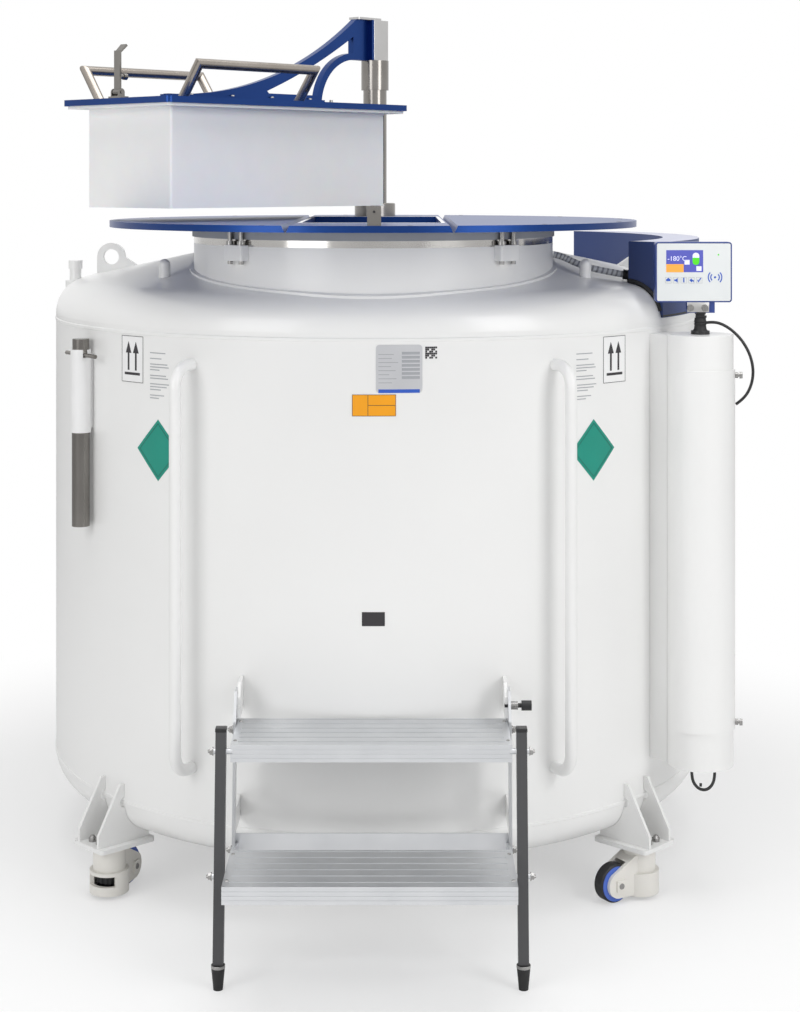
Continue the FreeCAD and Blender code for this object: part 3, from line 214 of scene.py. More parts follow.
print("white paint in linear light", [round(level, 3) for level in linear("f1f1f0")])

# %% [markdown]
# Powder coat is baked paint with a slight orange peel, ripples 1 to 3 mm across, and it is satin
# rather than glossy. A wide, faint change of tone keeps large panels from looking like plastic.

# %% Painted finishes


def powder_coat(name, colour, shade, roughness, peel=3.0, depth=0.08, coat=0.25):
    """Baked paint: peel is the size of its ripples in millimetres, and depth their strength."""
    material, tree, shader, place = finish(name, 0.0, roughness)
    tone = two_tones(tree, shader, place, colour, shade, 420)
    relief(tree, shader, place, peel, depth, detail=1.0, reach=0.0004)
    wear = add(tree, "ShaderNodeMapRange", {"From Min": 0.3, "From Max": 0.7, "To Min": roughness - 0.03,
               "To Max": roughness + 0.05}, {"Value": tone.outputs["Fac"]})
    tree.links.new(wear.outputs["Result"], shader.inputs["Roughness"])
    shader.inputs["Coat Weight"].default_value = coat
    shader.inputs["Coat Roughness"].default_value = 0.12
    return material


white_coat = powder_coat("white_powder_coat", "f1f1f0", "ececeb", 0.32)
bracket_coat = powder_coat("white_bracket_coat", "f0f0ef", "e8e8e7", 0.38, peel=2.2, depth=0.15)
cream_coat = powder_coat("cream_cast_coat", "efede8", "e3e0d9", 0.42, peel=1.6, depth=0.3, coat=0.15)
leg_coat = powder_coat("dark_leg_coat", "4a4a4c", "38383a", 0.42, peel=2.0, depth=0.2, coat=0.1)
blue_coat = powder_coat("blue_textured_coat", "223a74", "1c3163", 0.5, peel=1.1, depth=0.6, coat=0.05)
# The same textured paint in pale blue-grey for the duct's top, as painted reflection of the pale surround.
painted_reflection_coat = powder_coat("duct_top_painted_reflection", "c3c5d3", "b8bac9", 0.55, peel=1.1, depth=0.6, coat=0.0)
print("materials after the paints", len(bpy.data.materials))

# %% [markdown]
# Stainless steel here is drawn and polished lengthwise. Fine lines run along each tube, so the noise
# is stretched along one axis, and it changes both the roughness and a very shallow bump.

# %% Metal finishes


def drawn_metal(name, colour, shade, roughness, along, grain=0.7, depth=0.12):
    """Metal with fine lines along an axis: 0, 1 or 2 for X, Y or Z. They are a little coarse, to show."""
    material, tree, shader, place = finish(name, 1.0, roughness)
    two_tones(tree, shader, place, colour, shade, 90)
    stretch = [1.0, 1.0, 1.0]
    stretch[along] = 0.02
    lines = add(tree, "ShaderNodeMapping", {"Scale": stretch}, {"Vector": place})
    pattern = relief(tree, shader, lines.outputs["Vector"], grain, depth, detail=3.0)
    rough = add(tree, "ShaderNodeMapRange", {"To Min": roughness - 0.08, "To Max": roughness + 0.08},
                {"Value": pattern.outputs["Fac"]})
    tree.links.new(rough.outputs["Result"], shader.inputs["Roughness"])
    return material


polished_steel = drawn_metal("polished_stainless", "93908c", "76736f", 0.2, 2)
handle_steel = drawn_metal("ground_stainless_tube", "a8a19a", "8e877f", 0.26, 0, depth=0.2)
band_steel = drawn_metal("turned_stainless_band", "c4c2bf", "aaa8a5", 0.14, 0, depth=0.06)
fastener_steel = drawn_metal("zinc_plated_steel", "a8a7a5", "8d8c8b", 0.28, 2, grain=1.5)
bare_aluminium = drawn_metal("machined_aluminium", "c8c7c6", "b7b6b5", 0.33, 2, grain=0.9)
tread_aluminium = drawn_metal("extruded_aluminium", "dcdddf", "c9cbce", 0.36, 0, grain=0.8, depth=0.18)
vessel_steel = drawn_metal("rolled_stainless_sheet", "bfc0c2", "adaeb0", 0.3, 2, grain=1.2)
print("materials after the metals", len(bpy.data.materials))

# %% [markdown]
# Anodised aluminium is metal under a dyed oxide layer. It keeps a soft metallic sheen and a fine
# matt grain from blasting, grains of about half a millimetre, and it goes pale at a grazing angle.

# %% Anodised finish


def anodised(name, colour, shade, roughness):
    """Blasted aluminium under a dyed oxide layer, which is the thin clear coat."""
    material, tree, shader, place = finish(name, 1.0, roughness)
    two_tones(tree, shader, place, colour, shade, 160)
    relief(tree, shader, place, 0.6, 0.2, detail=1.0)
    shader.inputs["Coat Weight"].default_value = 0.2
    shader.inputs["Coat Roughness"].default_value = 0.2
    return material


blue_anodised = anodised("blue_anodised", "1c4184", "183873", 0.36)
print("made", blue_anodised.name)

# %% [markdown]
# Plastics and rubber: polyethylene for the lid's plug is milky and slightly waxy, rubber is dull
# with a faint bloom, and the panel's front is smooth hard plastic behind a thin clear film.

# %% Plastic and rubber finishes


def moulded(name, colour, shade, roughness, grain=1.2, depth=0.15, coat=0.0, waxy=0.0):
    """Plastic or rubber: grain is its texture in millimetres, and waxy lets light a little way in."""
    material, tree, shader, place = finish(name, 0.0, roughness)
    two_tones(tree, shader, place, colour, shade, 60, detail=3.0)
    relief(tree, shader, place, grain, depth, detail=2.0)
    shader.inputs["Coat Weight"].default_value = coat
    shader.inputs["Subsurface Weight"].default_value = waxy
    shader.inputs["Subsurface Scale"].default_value = 0.01
    return material


plug_white = moulded("milky_polyethylene", "f5f5f4", "efeff0", 0.4, grain=4.0, depth=0.05, waxy=0.15)
sleeve_white = moulded("white_nylon", "f1f1f1", "e8e8e8", 0.35, grain=2.0, depth=0.06)
black_rubber = moulded("black_rubber", "1c1c1d", "121213", 0.6, depth=0.3)
tread_rubber = moulded("dark_tread_rubber", "2a2a2c", "1c1c1e", 0.55, depth=0.3)
wheel_blue = moulded("blue_wheel_core", "4f72d2", "4262bb", 0.4, depth=0.1)
black_plastic = moulded("black_moulded_plastic", "1d1d1f", "131315", 0.38, depth=0.2)
hose_sheath = moulded("black_cable_sheath", "202021", "161617", 0.42, grain=0.8, depth=0.2)
glass_white = moulded("white_front_film", "e9ecec", "e3e7e8", 0.18, grain=5.0, depth=0.02, coat=0.6)
case_blue = moulded("blue_case_plastic", "31488f", "293e7e", 0.35, depth=0.1, coat=0.2)
foam_fill = moulded("cream_insulating_foam", "ddd6bf", "cfc7ad", 0.85, grain=2.5, depth=0.8)
collar_grey = moulded("grey_glass_fibre_collar", "a5a8ad", "96999e", 0.55, grain=1.5, depth=0.3)
liner_blue = moulded("blue_slot_lining", "2b4f9a", "22417f", 0.45, depth=0.15)
print("materials after the plastics", len(bpy.data.materials))

# %% [markdown]
# Printed marks are thin films. Each keeps a slight vinyl tooth, so it catches light. The screen's
# fields are films as well, and glow a little in their own colour.

# %% Printed finishes


def printed(name, colour, shade, roughness, depth=0.06, coat=0.0):
    """Ink or vinyl film with a fine tooth."""
    return moulded(name, colour, shade, roughness, grain=0.9, depth=depth, coat=coat)


def lit_field(name, colour, shade, roughness):
    """A glossy screen area that glows faintly in its own colour."""
    material = moulded(name, colour, shade, roughness, coat=0.5)
    shader = material.node_tree.nodes["Principled BSDF"]
    shader.inputs["Emission Color"].default_value = linear(colour)
    shader.inputs["Emission Strength"].default_value = 0.25
    return material


print_black = printed("printed_black", "2f2c30", "29262a", 0.5, depth=0.1)
print_green = printed("green_vinyl", "009380", "008976", 0.32, coat=0.3)
print_dark_green = printed("dark_green_print", "0a4f43", "084539", 0.4)
print_orange = printed("orange_vinyl", "fba80c", "f2a008", 0.35, coat=0.2)
print_blue = printed("blue_print", "2f5fc8", "2956b8", 0.35)
print_white = printed("white_vinyl", "f3f3f3", "eeeeee", 0.35)
print_grey = printed("grey_print", "a9abb0", "9fa1a6", 0.45)
plate_silver = drawn_metal("brushed_silver_plate", "dcdde0", "cfd0d4", 0.34, 0, grain=0.5)
screen_indigo = lit_field("lit_screen", "5257b4", "4a4fa9", 0.25)
screen_orange = lit_field("lit_orange_field", "f2a745", "eca03c", 0.3)
screen_green = lit_field("lit_green_field", "4fd615", "47c911", 0.3)
screen_pale = lit_field("lit_pale_field", "e4e6fb", "dcdef5", 0.3)
print("materials after the prints", len(bpy.data.materials))

# %% [markdown]
# The hose is wrapped with a spiral guard. A diagonal wave runs along the curve's own length, so
# the wrap follows the hose round its bends. A wave has 10 / (2 pi) bands for each unit of scale, so
# the two scales below give about 17 turns on the hose's 199 mm, one every 12 mm.

# %% Hose and cord finishes
stretch_along = 34.0
wave_scale = 0.32
hose_wrap, tree, shader, place = finish("spiral_wrapped_hose", 0.0, 0.45)
along_cord = add(tree, "ShaderNodeTexCoord").outputs["UV"]
turns = add(tree, "ShaderNodeMapping", {"Scale": (stretch_along, 1.0, 1.0)}, {"Vector": along_cord})
wave = add(tree, "ShaderNodeTexWave", {"Scale": wave_scale, "Distortion": 0.0},
           {"Vector": turns.outputs["Vector"]}, bands_direction="DIAGONAL")
ramp = add(tree, "ShaderNodeValToRGB", None, {"Fac": wave.outputs["Fac"]})
for stop, code, position in zip(ramp.color_ramp.elements, ("8b8d92", "c6c8cc"), (0.25, 0.45)):
    stop.color = linear(code)
    stop.position = position
tree.links.new(ramp.outputs["Color"], shader.inputs["Base Color"])
bump = add(tree, "ShaderNodeBump", {"Strength": 0.8, "Distance": 0.001}, {"Height": wave.outputs["Fac"]})
tree.links.new(bump.outputs["Normal"], shader.inputs["Normal"])
fill_hose.data.materials.append(hose_wrap)
panel_cable.data.materials.append(hose_sheath)
loop_cable.data.materials.append(hose_sheath)
print("wrap turns", round(stretch_along * wave_scale * 10 / (2 * pi), 1))

# %% [markdown]
# Each CAD node now gets its finish through its material slots, and the mesh keeps its shape. The
# four casters share their names but for the corner that they stand at.

# %% Finishes on the CAD nodes
corners = ("front_right", "front_left", "rear_left", "rear_right")
finishes = {
    white_coat: ["outer_vessel", "probe_tube", "probe_cover", "vacuum_ports", "handrails"],
    bracket_coat: ["deck_clamps", "lifting_lugs", "caster_brackets", "step_plates", "probe_strip"],
    cream_coat: ["caster_housing_" + corner for corner in corners],
    leg_coat: ["step_legs"],
    blue_coat: ["hose_duct"],
    band_steel: ["neck_band"],
    collar_grey: ["deck_collar"],
    foam_fill: ["neck_insulation"],
    liner_blue: ["slot_liner"],
    blue_anodised: ["deck_centre", "deck_left", "deck_right", "lid_arm", "lid_plate"],
    polished_steel: ["lift_guide", "lift_rod", "latch_bracket", "latch_lever", "latch_post", "release_tool"],
    handle_steel: ["lid_handles"],
    bare_aluminium: ["lift_head", "carousel_plate", "carousel_walls"],
    plug_white: ["lid_plug"],
    sleeve_white: ["tool_sleeve"],
    tread_aluminium: ["upper_tread", "lower_tread", "step_rails"],
    vessel_steel: ["inner_vessel"],
    fastener_steel: ["tank_fasteners", "caster_flanges"],
    black_rubber: ["step_feet"] + ["caster_pad_" + corner for corner in corners],
    tread_rubber: ["caster_wheel_" + corner for corner in corners],
    black_plastic: ["plunger", "panel_socket", "panel_stem"],
    case_blue: ["panel_case"],
    glass_white: ["panel_glass"],
}
dressed = 0
for material, names in finishes.items():
    for name in names:
        mesh = nodes[name].data
        mesh.materials.clear()
        mesh.materials.append(material)
        dressed += 1
print("dressed", dressed, "nodes")

# The duct's flat top is painted paler than its sides. The pale blue-grey is painted reflection: the sheen a
# blue top shows towards the pale surround at a grazing angle.
faces_up = 0.99
top_band = 0.001
duct_mesh = nodes["hose_duct"].data
duct_mesh.materials.append(painted_reflection_coat)
duct_top = max(vert.co.z for vert in duct_mesh.vertices)
for polygon in duct_mesh.polygons:
    if polygon.normal.z > faces_up and polygon.center.z > duct_top - top_band:
        polygon.material_index = 1

# %% [markdown]
# New pieces are built with bmesh operators in millimetres, then placed in the object's frame. A
# piece ends as an object at the origin with its place in its mesh, and rides on the body that
# carries it. Edges over 35 degrees stay crisp, as on turned and folded parts.

# %% Piece helpers
tank_radius = 840.0


def new_piece(name, mesh_data, material, body, place=Matrix.Identity(4)):
    """Turn a bmesh in millimetres into a finished piece on a body. The place is in metres."""
    mesh_data.transform(place @ Matrix.Scale(MM, 4))
    bmesh.ops.recalc_face_normals(mesh_data, faces=mesh_data.faces)
    mesh = bpy.data.meshes.new(name)
    mesh_data.to_mesh(mesh)
    mesh_data.free()
    for polygon in mesh.polygons:
        polygon.use_smooth = True
    mesh.set_sharp_from_angle(angle=radians(35))
    piece = bpy.data.objects.new(name, mesh)
    scene.collection.objects.link(piece)
    mesh.materials.append(material)
    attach(piece, body)
    return piece


def add_rod(mesh_data, start, end, radius, far_radius=None, sides=32):
    """A closed cylinder or cone between two points."""
    start, end = Vector(start), Vector(end)
    along = end - start
    turn = along.to_track_quat("Z", "Y").to_matrix().to_4x4()
    place = Matrix.Translation((start + end) / 2) @ turn
    far = radius if far_radius is None else far_radius
    bmesh.ops.create_cone(mesh_data, cap_ends=True, segments=sides, radius1=radius, radius2=far,
                          depth=along.length, matrix=place)


def add_box(mesh_data, low, high, round_by=0.0):
    """A block between two corners, with rounded edges."""
    low, high = Vector(low), Vector(high)
    size = Matrix.Diagonal((*(high - low), 1))
    made = bmesh.ops.create_cube(mesh_data, size=1.0, matrix=Matrix.Translation((low + high) / 2) @ size)
    if round_by:
        edges = list({edge for vert in made["verts"] for edge in vert.link_edges})
        bmesh.ops.bevel(mesh_data, geom=edges, offset=round_by, segments=3, profile=0.5,
                        affect="EDGES", material=-1)


def add_lathe(mesh_data, profile, place=Matrix.Identity(4)):
    """Spin a profile of (radius, height) points round Z and close it."""
    rim = [mesh_data.verts.new(place @ Vector((r, 0, z))) for r, z in profile]
    edges = [mesh_data.edges.new(pair) for pair in zip(rim, rim[1:])]
    axis = place.to_3x3() @ Vector((0, 0, 1))
    bmesh.ops.spin(mesh_data, geom=rim + edges, cent=place.translation, axis=axis, angle=2 * pi,
                   steps=40, use_merge=True)
    bmesh.ops.remove_doubles(mesh_data, verts=mesh_data.verts, dist=0.001)


def add_plate(mesh_data, outline, low, thick):
    """A flat outline in X and Y, raised from a height by a thickness."""
    face = mesh_data.faces.new([mesh_data.verts.new((x, y, low)) for x, y in outline])
    made = bmesh.ops.extrude_face_region(mesh_data, geom=[face])
    raised = [item for item in made["geom"] if isinstance(item, bmesh.types.BMVert)]
    bmesh.ops.translate(mesh_data, verts=raised, vec=(0, 0, thick))


def rectangle(x0, y0, x1, y1):
    """The outline of an upright rectangle between two corners."""
    return [(x0, y0), (x1, y0), (x1, y1), (x0, y1)]


def polar(radius, angle, height):
    """A point at a radius, an angle in degrees and a height, round an upright axis."""
    return Vector((radius * cos(radians(angle)), radius * sin(radians(angle)), height))


def facing(direction, place):
    """A frame at a place whose Z points along a direction and whose Y points up."""
    out = Vector(direction).normalized()
    right = Vector((0, 0, 1)).cross(out).normalized()
    rise = out.cross(right)
    turn = Matrix((right, rise, out)).transposed().to_4x4()
    return Matrix.Translation(place) @ turn


print("the wall's front is at", polar(tank_radius, -90, 0).to_tuple(1), "mm")

# %% [markdown]
# Labels lie on the round wall, so a flat label is cut into narrow strips and bent: a point's place
# across the label becomes an angle round the tank, and its height stays. Each print is a film of its
# own a little further out, so that no two faces lie in one another.

# %% Label helpers
film = 0.35
film_gap = 0.05
strip_width = 6.0


def wrap_on_wall(mesh_data, angle, height):
    """Bend flat artwork onto the tank at an angle from the front, in degrees, and a height."""
    cut = min(vert.co.x for vert in mesh_data.verts) + strip_width
    far_edge = max(vert.co.x for vert in mesh_data.verts)
    while cut < far_edge:
        geometry = mesh_data.verts[:] + mesh_data.edges[:] + mesh_data.faces[:]
        bmesh.ops.bisect_plane(mesh_data, geom=geometry, plane_co=(cut, 0, 0), plane_no=(1, 0, 0))
        cut += strip_width
    for vert in mesh_data.verts:
        around = radians(angle - 90) + vert.co.x / tank_radius
        reach = tank_radius + vert.co.z
        vert.co = Vector((reach * cos(around), reach * sin(around), height + vert.co.y))


def label(name, outlines, material, angle, height, layer=0):
    """Flat outlines as a film on the wall, on top of as many films as layer says."""
    mesh_data = bmesh.new()
    for outline in outlines:
        add_plate(mesh_data, outline, film_gap + layer * film, film)
    wrap_on_wall(mesh_data, angle, height)
    return new_piece(name, mesh_data, material, "tank")


def frame_outlines(x, y, wide):
    """Four strips that frame a rectangle of half sizes x and y."""
    return [
        rectangle(-x, y - wide, x, y), rectangle(-x, -y, x, -y + wide),
        rectangle(-x, -y + wide, -x + wide, y - wide), rectangle(x - wide, -y + wide, x, y - wide),
    ]


def rounded(x0, y0, x1, y1, radius):
    """A rectangle with rounded corners, as one outline."""
    corners = ((x1, y1, 0), (x0, y1, 90), (x0, y0, 180), (x1, y0, 270))
    outline = []
    for x, y, start in corners:
        middle_x = x - radius if x == x1 else x + radius
        middle_y = y - radius if y == y1 else y + radius
        for step in range(7):
            turn = radians(start + 15 * step)
            outline.append((middle_x + radius * cos(turn), middle_y + radius * sin(turn)))
    return outline


print("one film is", film, "mm thick")

# %% [markdown]
# Beside each handrail are a white field with two upright arrows, such as a crate has, and a plain
# green diamond with a thin line inside its edge. Angles count from the front, in degrees.

# %% Arrow and diamond labels
arrow_x, arrow_y, arrow_height = 38, 54, 1262
for side, angle in (("left", -42.1), ("right", 41.8)):
    field = rectangle(-arrow_x, -arrow_y, arrow_x, arrow_y)
    label("arrow_field_" + side, [field], print_white, angle, arrow_height)
    arrows = frame_outlines(arrow_x, arrow_y, 1.2) + [rectangle(-27, -37, 27, -31)]
    for middle in (-13, 13):
        arrows.append(rectangle(middle - 3, -26, middle + 3, 14))
        arrows.append([(middle - 10, 14), (middle + 10, 14), (middle, 41)])
    label("arrow_print_" + side, arrows, print_black, angle, arrow_height, layer=1)

diamond_x, diamond_y, diamond_height = 68, 71, 1057
line_x, line_y, line_wide = 59.4, 62, 1.6
diamond = [(0, -diamond_y), (diamond_x, 0), (0, diamond_y), (-diamond_x, 0)]
for side, angle in (("left", -36.2), ("right", 37.1)):
    label("green_diamond_" + side, [diamond], print_green, angle, diamond_height)
    strips = []
    for sx, sy in ((1, 1), (1, -1), (-1, 1), (-1, -1)):
        strips.append([(0, sy * line_y), (sx * line_x, 0),
                       (sx * (line_x - line_wide), 0), (0, sy * (line_y - line_wide))])
    label("diamond_line_" + side, strips, print_dark_green, angle, diamond_height, layer=1)
print("arrow labels at", arrow_height, "mm, diamonds at", diamond_height, "mm")

# %% [markdown]
# In the middle are a brushed plate and an orange label, with plain rules and blocks on them. A
# small square of blocks, a dark patch and two columns of grey rules complete the wall.

# %% Plate and small labels
plate_at = (4.0, 1260)
orange_at = (0.2, 1179.5)
plate_row = 9
plate_widths = (34, 30, 44, 28, 38, 24, 40, 30)
label("silver_plate", [rounded(-51.7, -53, 51.7, 54, 8)], plate_silver, *plate_at)
label("silver_plate_foot", [rectangle(-46, -53, 46, -45)], print_blue, *plate_at, layer=1)
plate_lines = [rectangle(-46, 32 - row * plate_row, -46 + width, 33.2 - row * plate_row)
               for row, width in enumerate(plate_widths)]
plate_lines += [rectangle(6, 32 - row * plate_row, 46, 38 - row * plate_row) for row in range(7)]
label("silver_plate_fields", plate_lines, print_grey, *plate_at, layer=1)

orange_x, orange_y = 48.7, 24
label("orange_label", [rectangle(-orange_x, -orange_y, orange_x, orange_y)], print_orange, *orange_at)
orange_lines = frame_outlines(orange_x, orange_y, 1.0)
orange_lines += [rectangle(-14, -orange_y, -13, orange_y), rectangle(-14, -0.5, 48, 0.5)]
label("orange_label_lines", orange_lines, print_black, *orange_at, layer=1)

patch_at = (0.1, 706)
patch_x, patch_y = 25.5, 15.5
label("dark_patch", [rectangle(-patch_x, -patch_y, patch_x, patch_y)], print_black, *patch_at)

blocks_at = (8.9, 1296)
block, pitch, low_side = 4.0, 4.5, -13.5
blocks = []
for i in range(6):
    for j in range(6):
        if (i * j + i) % 3 != 1:
            x, y = low_side + pitch * i, low_side + pitch * j
            blocks.append(rectangle(x, y, x + block, y + block))
label("code_patch", blocks, print_black, *blocks_at)

rules_height = 1226
rule_step = 6.5
rule_widths = (0, 48, 0, 36, 0, 54, 58, 30, 0, 50, 56, 0, 60, 52, 34, 0, 44, 28)
lines = [rectangle(-30, 60 - rule_step * row, -30 + width, 62 - rule_step * row)
         for row, width in enumerate(rule_widths) if width]
for side, angle in (("left", -35.9), ("right", 35.6)):
    label("text_lines_" + side, lines, print_grey, angle, rules_height)
print("small square has", len(blocks), "blocks")

# %% [markdown]
# The panel's front carries a small screen, five keys and a field for a card reader. Shapes are
# thin plates set out in millimetres from the middle of the front, whose place comes from the frame.

# %% Panel helpers
panel_low, panel_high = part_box("panel_glass")
panel_middle = (panel_low + panel_high) / 2
panel_place = facing((0, -1, 0), (panel_middle.x, panel_low.y, panel_middle.z))
skin = 0.3


def on_panel(name, outlines, material, layer=0):
    """Flat outlines as a film on the panel's front."""
    mesh_data = bmesh.new()
    for outline in outlines:
        add_plate(mesh_data, outline, layer * skin, skin)
    return new_piece(name, mesh_data, material, "panel", panel_place)


def disc(x, y, radius, start=0.0, sweep=360.0, steps=24):
    """Points on a circle or arc. A full circle leaves out the point that would close it."""
    angles = [radians(start + sweep * i / steps) for i in range(steps + (sweep < 360))]
    return [(x + radius * cos(angle), y + radius * sin(angle)) for angle in angles]


def arc_band(x, y, radius, wide, start, sweep, steps=12):
    """A bent strip, as outlines of four corners."""
    outer = disc(x, y, radius + wide / 2, start, sweep, steps)
    inner = disc(x, y, radius - wide / 2, start, sweep, steps)
    return [[outer[i], outer[i + 1], inner[i + 1], inner[i]] for i in range(steps)]


print("panel front at", [round(value, 3) for value in panel_place.translation])

# %% [markdown]
# The screen shows a filled tank, a warm field and a reading. Each key is a thin frame round a sign,
# and the reader's place is marked by waves on both sides of a dot.

# %% Screen, keys and reader
on_panel("screen", [rectangle(-65, 0, 22, 52)], screen_indigo)
on_panel("screen_warm_field", [rectangle(-65, 0, -24, 19)], screen_orange, 1)
half_round = (180, 12)
tank_icon = disc(5, 28, 8, 180, *half_round) + disc(5, 38, 8, 0, *half_round)
on_panel("screen_tank_sign", [tank_icon], screen_pale, 1)
tank_level = disc(5, 25, 8, 180, *half_round) + [(13, 34), (-3, 34)]
on_panel("screen_tank_level", [tank_level], screen_green, 2)
on_panel("screen_sun_field", [rectangle(-22, 18, -10, 29), rectangle(6, 3, 18, 14)], screen_pale, 1)

first_key, key_pitch, key_y, key_half = -60, 18.2, -19, 7
keys = []
for index in range(5):
    x = first_key + key_pitch * index
    keys += [[(x + a, key_y + b) for a, b in strip] for strip in frame_outlines(key_half, key_half, 0.5)]
on_panel("key_frames", keys, print_grey)
signs = [
    [(-65, -21), (-55, -21), (-55, -17), (-60, -13), (-65, -17)],
    [(-46, -21), (-42, -21), (-38, -25), (-38, -13), (-42, -17), (-46, -17)],
    [(-25, -24), (-22, -24), (-22, -13), (-25, -13)],
    [(-10.4, -19), (-5, -14), (-5, -17), (0, -19), (0, -24), (-3, -21), (-5, -24)],
    [(8, -19), (11, -24), (18, -14), (15.5, -13), (11, -20), (9.6, -17)],
]
on_panel("key_signs", signs, print_blue)

reader_x, reader_y, wave_wide = 50, -12, 2.6
reader = [disc(reader_x, reader_y, wave_wide)]
for radius in (10, 16):
    for start in (-45, 135):
        reader += arc_band(reader_x, reader_y, radius, wave_wide, start, 90)
on_panel("reader_sign", reader, print_blue)
on_panel("status_lights", [disc(58, 41, 2.0)], screen_green)
print("keys", len(signs), "reader strips", len(reader))

# %% [markdown]
# The reading is a text curve, which Blender fills and gives a little depth. It is made a mesh
# before its place is applied, so that it ends as every other piece does.

# %% Screen reading
text = bpy.data.curves.new("reading", "FONT")
text.body = "-180°C"
text.size = 15.5
text.extrude = 0.15
text_object = bpy.data.objects.new("reading_curve", text)
scene.collection.objects.link(text_object)
bpy.context.view_layer.update()
reading = bmesh.new()
reading.from_mesh(bpy.data.meshes.new_from_object(text_object))
bpy.data.objects.remove(text_object)
bmesh.ops.translate(reading, verts=reading.verts, vec=(-62, 27, skin * 1.5))
print("reading has", len(reading.faces), "faces")
new_piece("screen_reading", reading, screen_pale, "panel", panel_place)

# %% [markdown]
# The panel's mast stands on the probe tube's axis. A bare clamp plate with two pads and two screws
# holds the panel to it, a grip holds the cable, and a ribbed rubber gaiter covers the mast's foot.
# The gaiter is turned round its axis, so it is a spun profile.

# %% Panel mount
tube_x, tube_y = 770.2, -559.6
plate_face, plate_back = tube_y - 19, tube_y - 17.8
clamp_low, clamp_high = 1368, 1391
pad_low, pad_high = clamp_low + 1, clamp_high - 1
clamp = bmesh.new()
add_box(clamp, (tube_x - 34, plate_face, clamp_low), (tube_x + 18, plate_back, clamp_high), 0.5)
for left, right in ((-32, -12), (12, 17)):
    add_box(clamp, (tube_x + left, tube_y - 17.9, pad_low), (tube_x + right, tube_y - 13.9, pad_high))
new_piece("panel_clamp_plate", clamp, bare_aluminium, "panel")
screw_height = 1378
screws = bmesh.new()
for x in (tube_x - 26, tube_x + 8):
    add_rod(screws, (x, plate_face, screw_height), (x, tube_y - 23.5, screw_height), 8.5, 7.6)
new_piece("panel_clamp_screws", screws, fastener_steel, "panel")
grip_half, grip_low, grip_high = 13, 1354.5, 1360
grip = bmesh.new()
add_box(grip, (tube_x - grip_half, tube_y - 15, grip_low),
        (tube_x + grip_half, tube_y - 9.5, grip_high), 1.0)
new_piece("cable_grip", grip, black_plastic, "panel_mast")
foot = bmesh.new()
foot_profile = [(0, 1316), (22.5, 1316), (22, 1319), (15, 1327), (13.6, 1336), (15, 1339), (13.6, 1342),
                (15, 1345), (13.6, 1348), (13.4, 1353.4), (0, 1353.4)]
add_lathe(foot, foot_profile, Matrix.Translation((tube_x, tube_y, 0)))
new_piece("panel_foot_gaiter", foot, black_rubber, "tank")
print("panel mount on the axis at", (tube_x, tube_y))

# %% [markdown]
# The duct's lower edge is finished with a black rubber profile that follows the tank's shoulder: a
# cone of 12.1 degrees that runs into the wall through a knuckle. A curve with a round bevel makes
# the bead, and it is turned into a mesh like every other piece.

# %% Duct trim
head_slope = radians(12.1)
knuckle = 88.0
shoulder = 1339.0


def shoulder_height(radius):
    """Height of the tank's outside at a radius, in millimetres."""
    tangent = tank_radius - knuckle + knuckle * sin(head_slope)
    if radius < tangent:
        climb = (tangent - radius) * sin(head_slope) / cos(head_slope)
        return shoulder + knuckle * cos(head_slope) + climb
    return shoulder + sqrt(max(0.0, knuckle ** 2 - (radius - (tank_radius - knuckle)) ** 2))


def rubber_bead(name, points, radius):
    """A round rubber bead through points, on the tank."""
    curve = bpy.data.curves.new(name, "CURVE")
    curve.dimensions = "3D"
    spline = curve.splines.new("POLY")
    spline.points.add(len(points) - 1)
    for point, place in zip(spline.points, points):
        point.co = (*(place * MM), 1)
    curve.bevel_depth = radius * MM
    curve.bevel_resolution = 2
    curve.use_fill_caps = True
    holder = bpy.data.objects.new(name + "_line", curve)
    scene.collection.objects.link(holder)
    bpy.context.view_layer.update()
    mesh_data = bmesh.new()
    mesh_data.from_mesh(bpy.data.meshes.new_from_object(holder))
    bpy.data.objects.remove(holder)
    bmesh.ops.scale(mesh_data, vec=(1 / MM, 1 / MM, 1 / MM), verts=mesh_data.verts)
    return new_piece(name, mesh_data, black_rubber, "tank")


duct_in, duct_out, duct_start, duct_end = 752.0, 845.0, -35.0, 41.0
bead_in, bead_out = duct_in + 2, 838.0
edge = []
for step in range(13):
    radius = bead_in + (bead_out - bead_in) * step / 12
    edge.append(polar(radius, duct_start - 0.1, shoulder_height(radius) + 6))
rubber_bead("duct_end_bead", edge, 6.0)
inner_line = (duct_in - 1, shoulder_height(duct_in - 1) + 4)
outer_line = (duct_out - 2, 1352.0)
for where, (radius, height) in (("inner", inner_line), ("outer", outer_line)):
    points = [polar(radius, duct_start + (duct_end - duct_start) * step / 24, height) for step in range(25)]
    rubber_bead("duct_" + where + "_bead", points, 3.2)
print("inner bead at", round(inner_line[1], 1), "mm")

# %% [markdown]
# Small parts that a visitor touches or sees close finish the step: black caps on the legs, steel
# collars over the rubber feet, screw heads on the treads, and a washer and nut on each pivot pin.
# They ride on the treads and legs, so they fold with them.

# %% Step trim
leg_middle = 317
cap_half = 12
cap_near, cap_far, cap_low, cap_high = -1051.5, -1026.5, 516, 524
foot_y = -1108.3
caps = bmesh.new()
collars = bmesh.new()
for side in (-1, 1):
    x = side * leg_middle
    add_box(caps, (x - cap_half, cap_near, cap_low), (x + cap_half, cap_far, cap_high), 1.5)
    collar_profile = [(14.1, 45), (14.8, 45.4), (14.8, 51), (14.1, 51.4), (14.1, 45)]
    add_lathe(collars, collar_profile, Matrix.Translation((x, foot_y, 0)))
new_piece("leg_caps", caps, black_plastic, "step_stand")
new_piece("foot_collars", collars, fastener_steel, "step_stand")

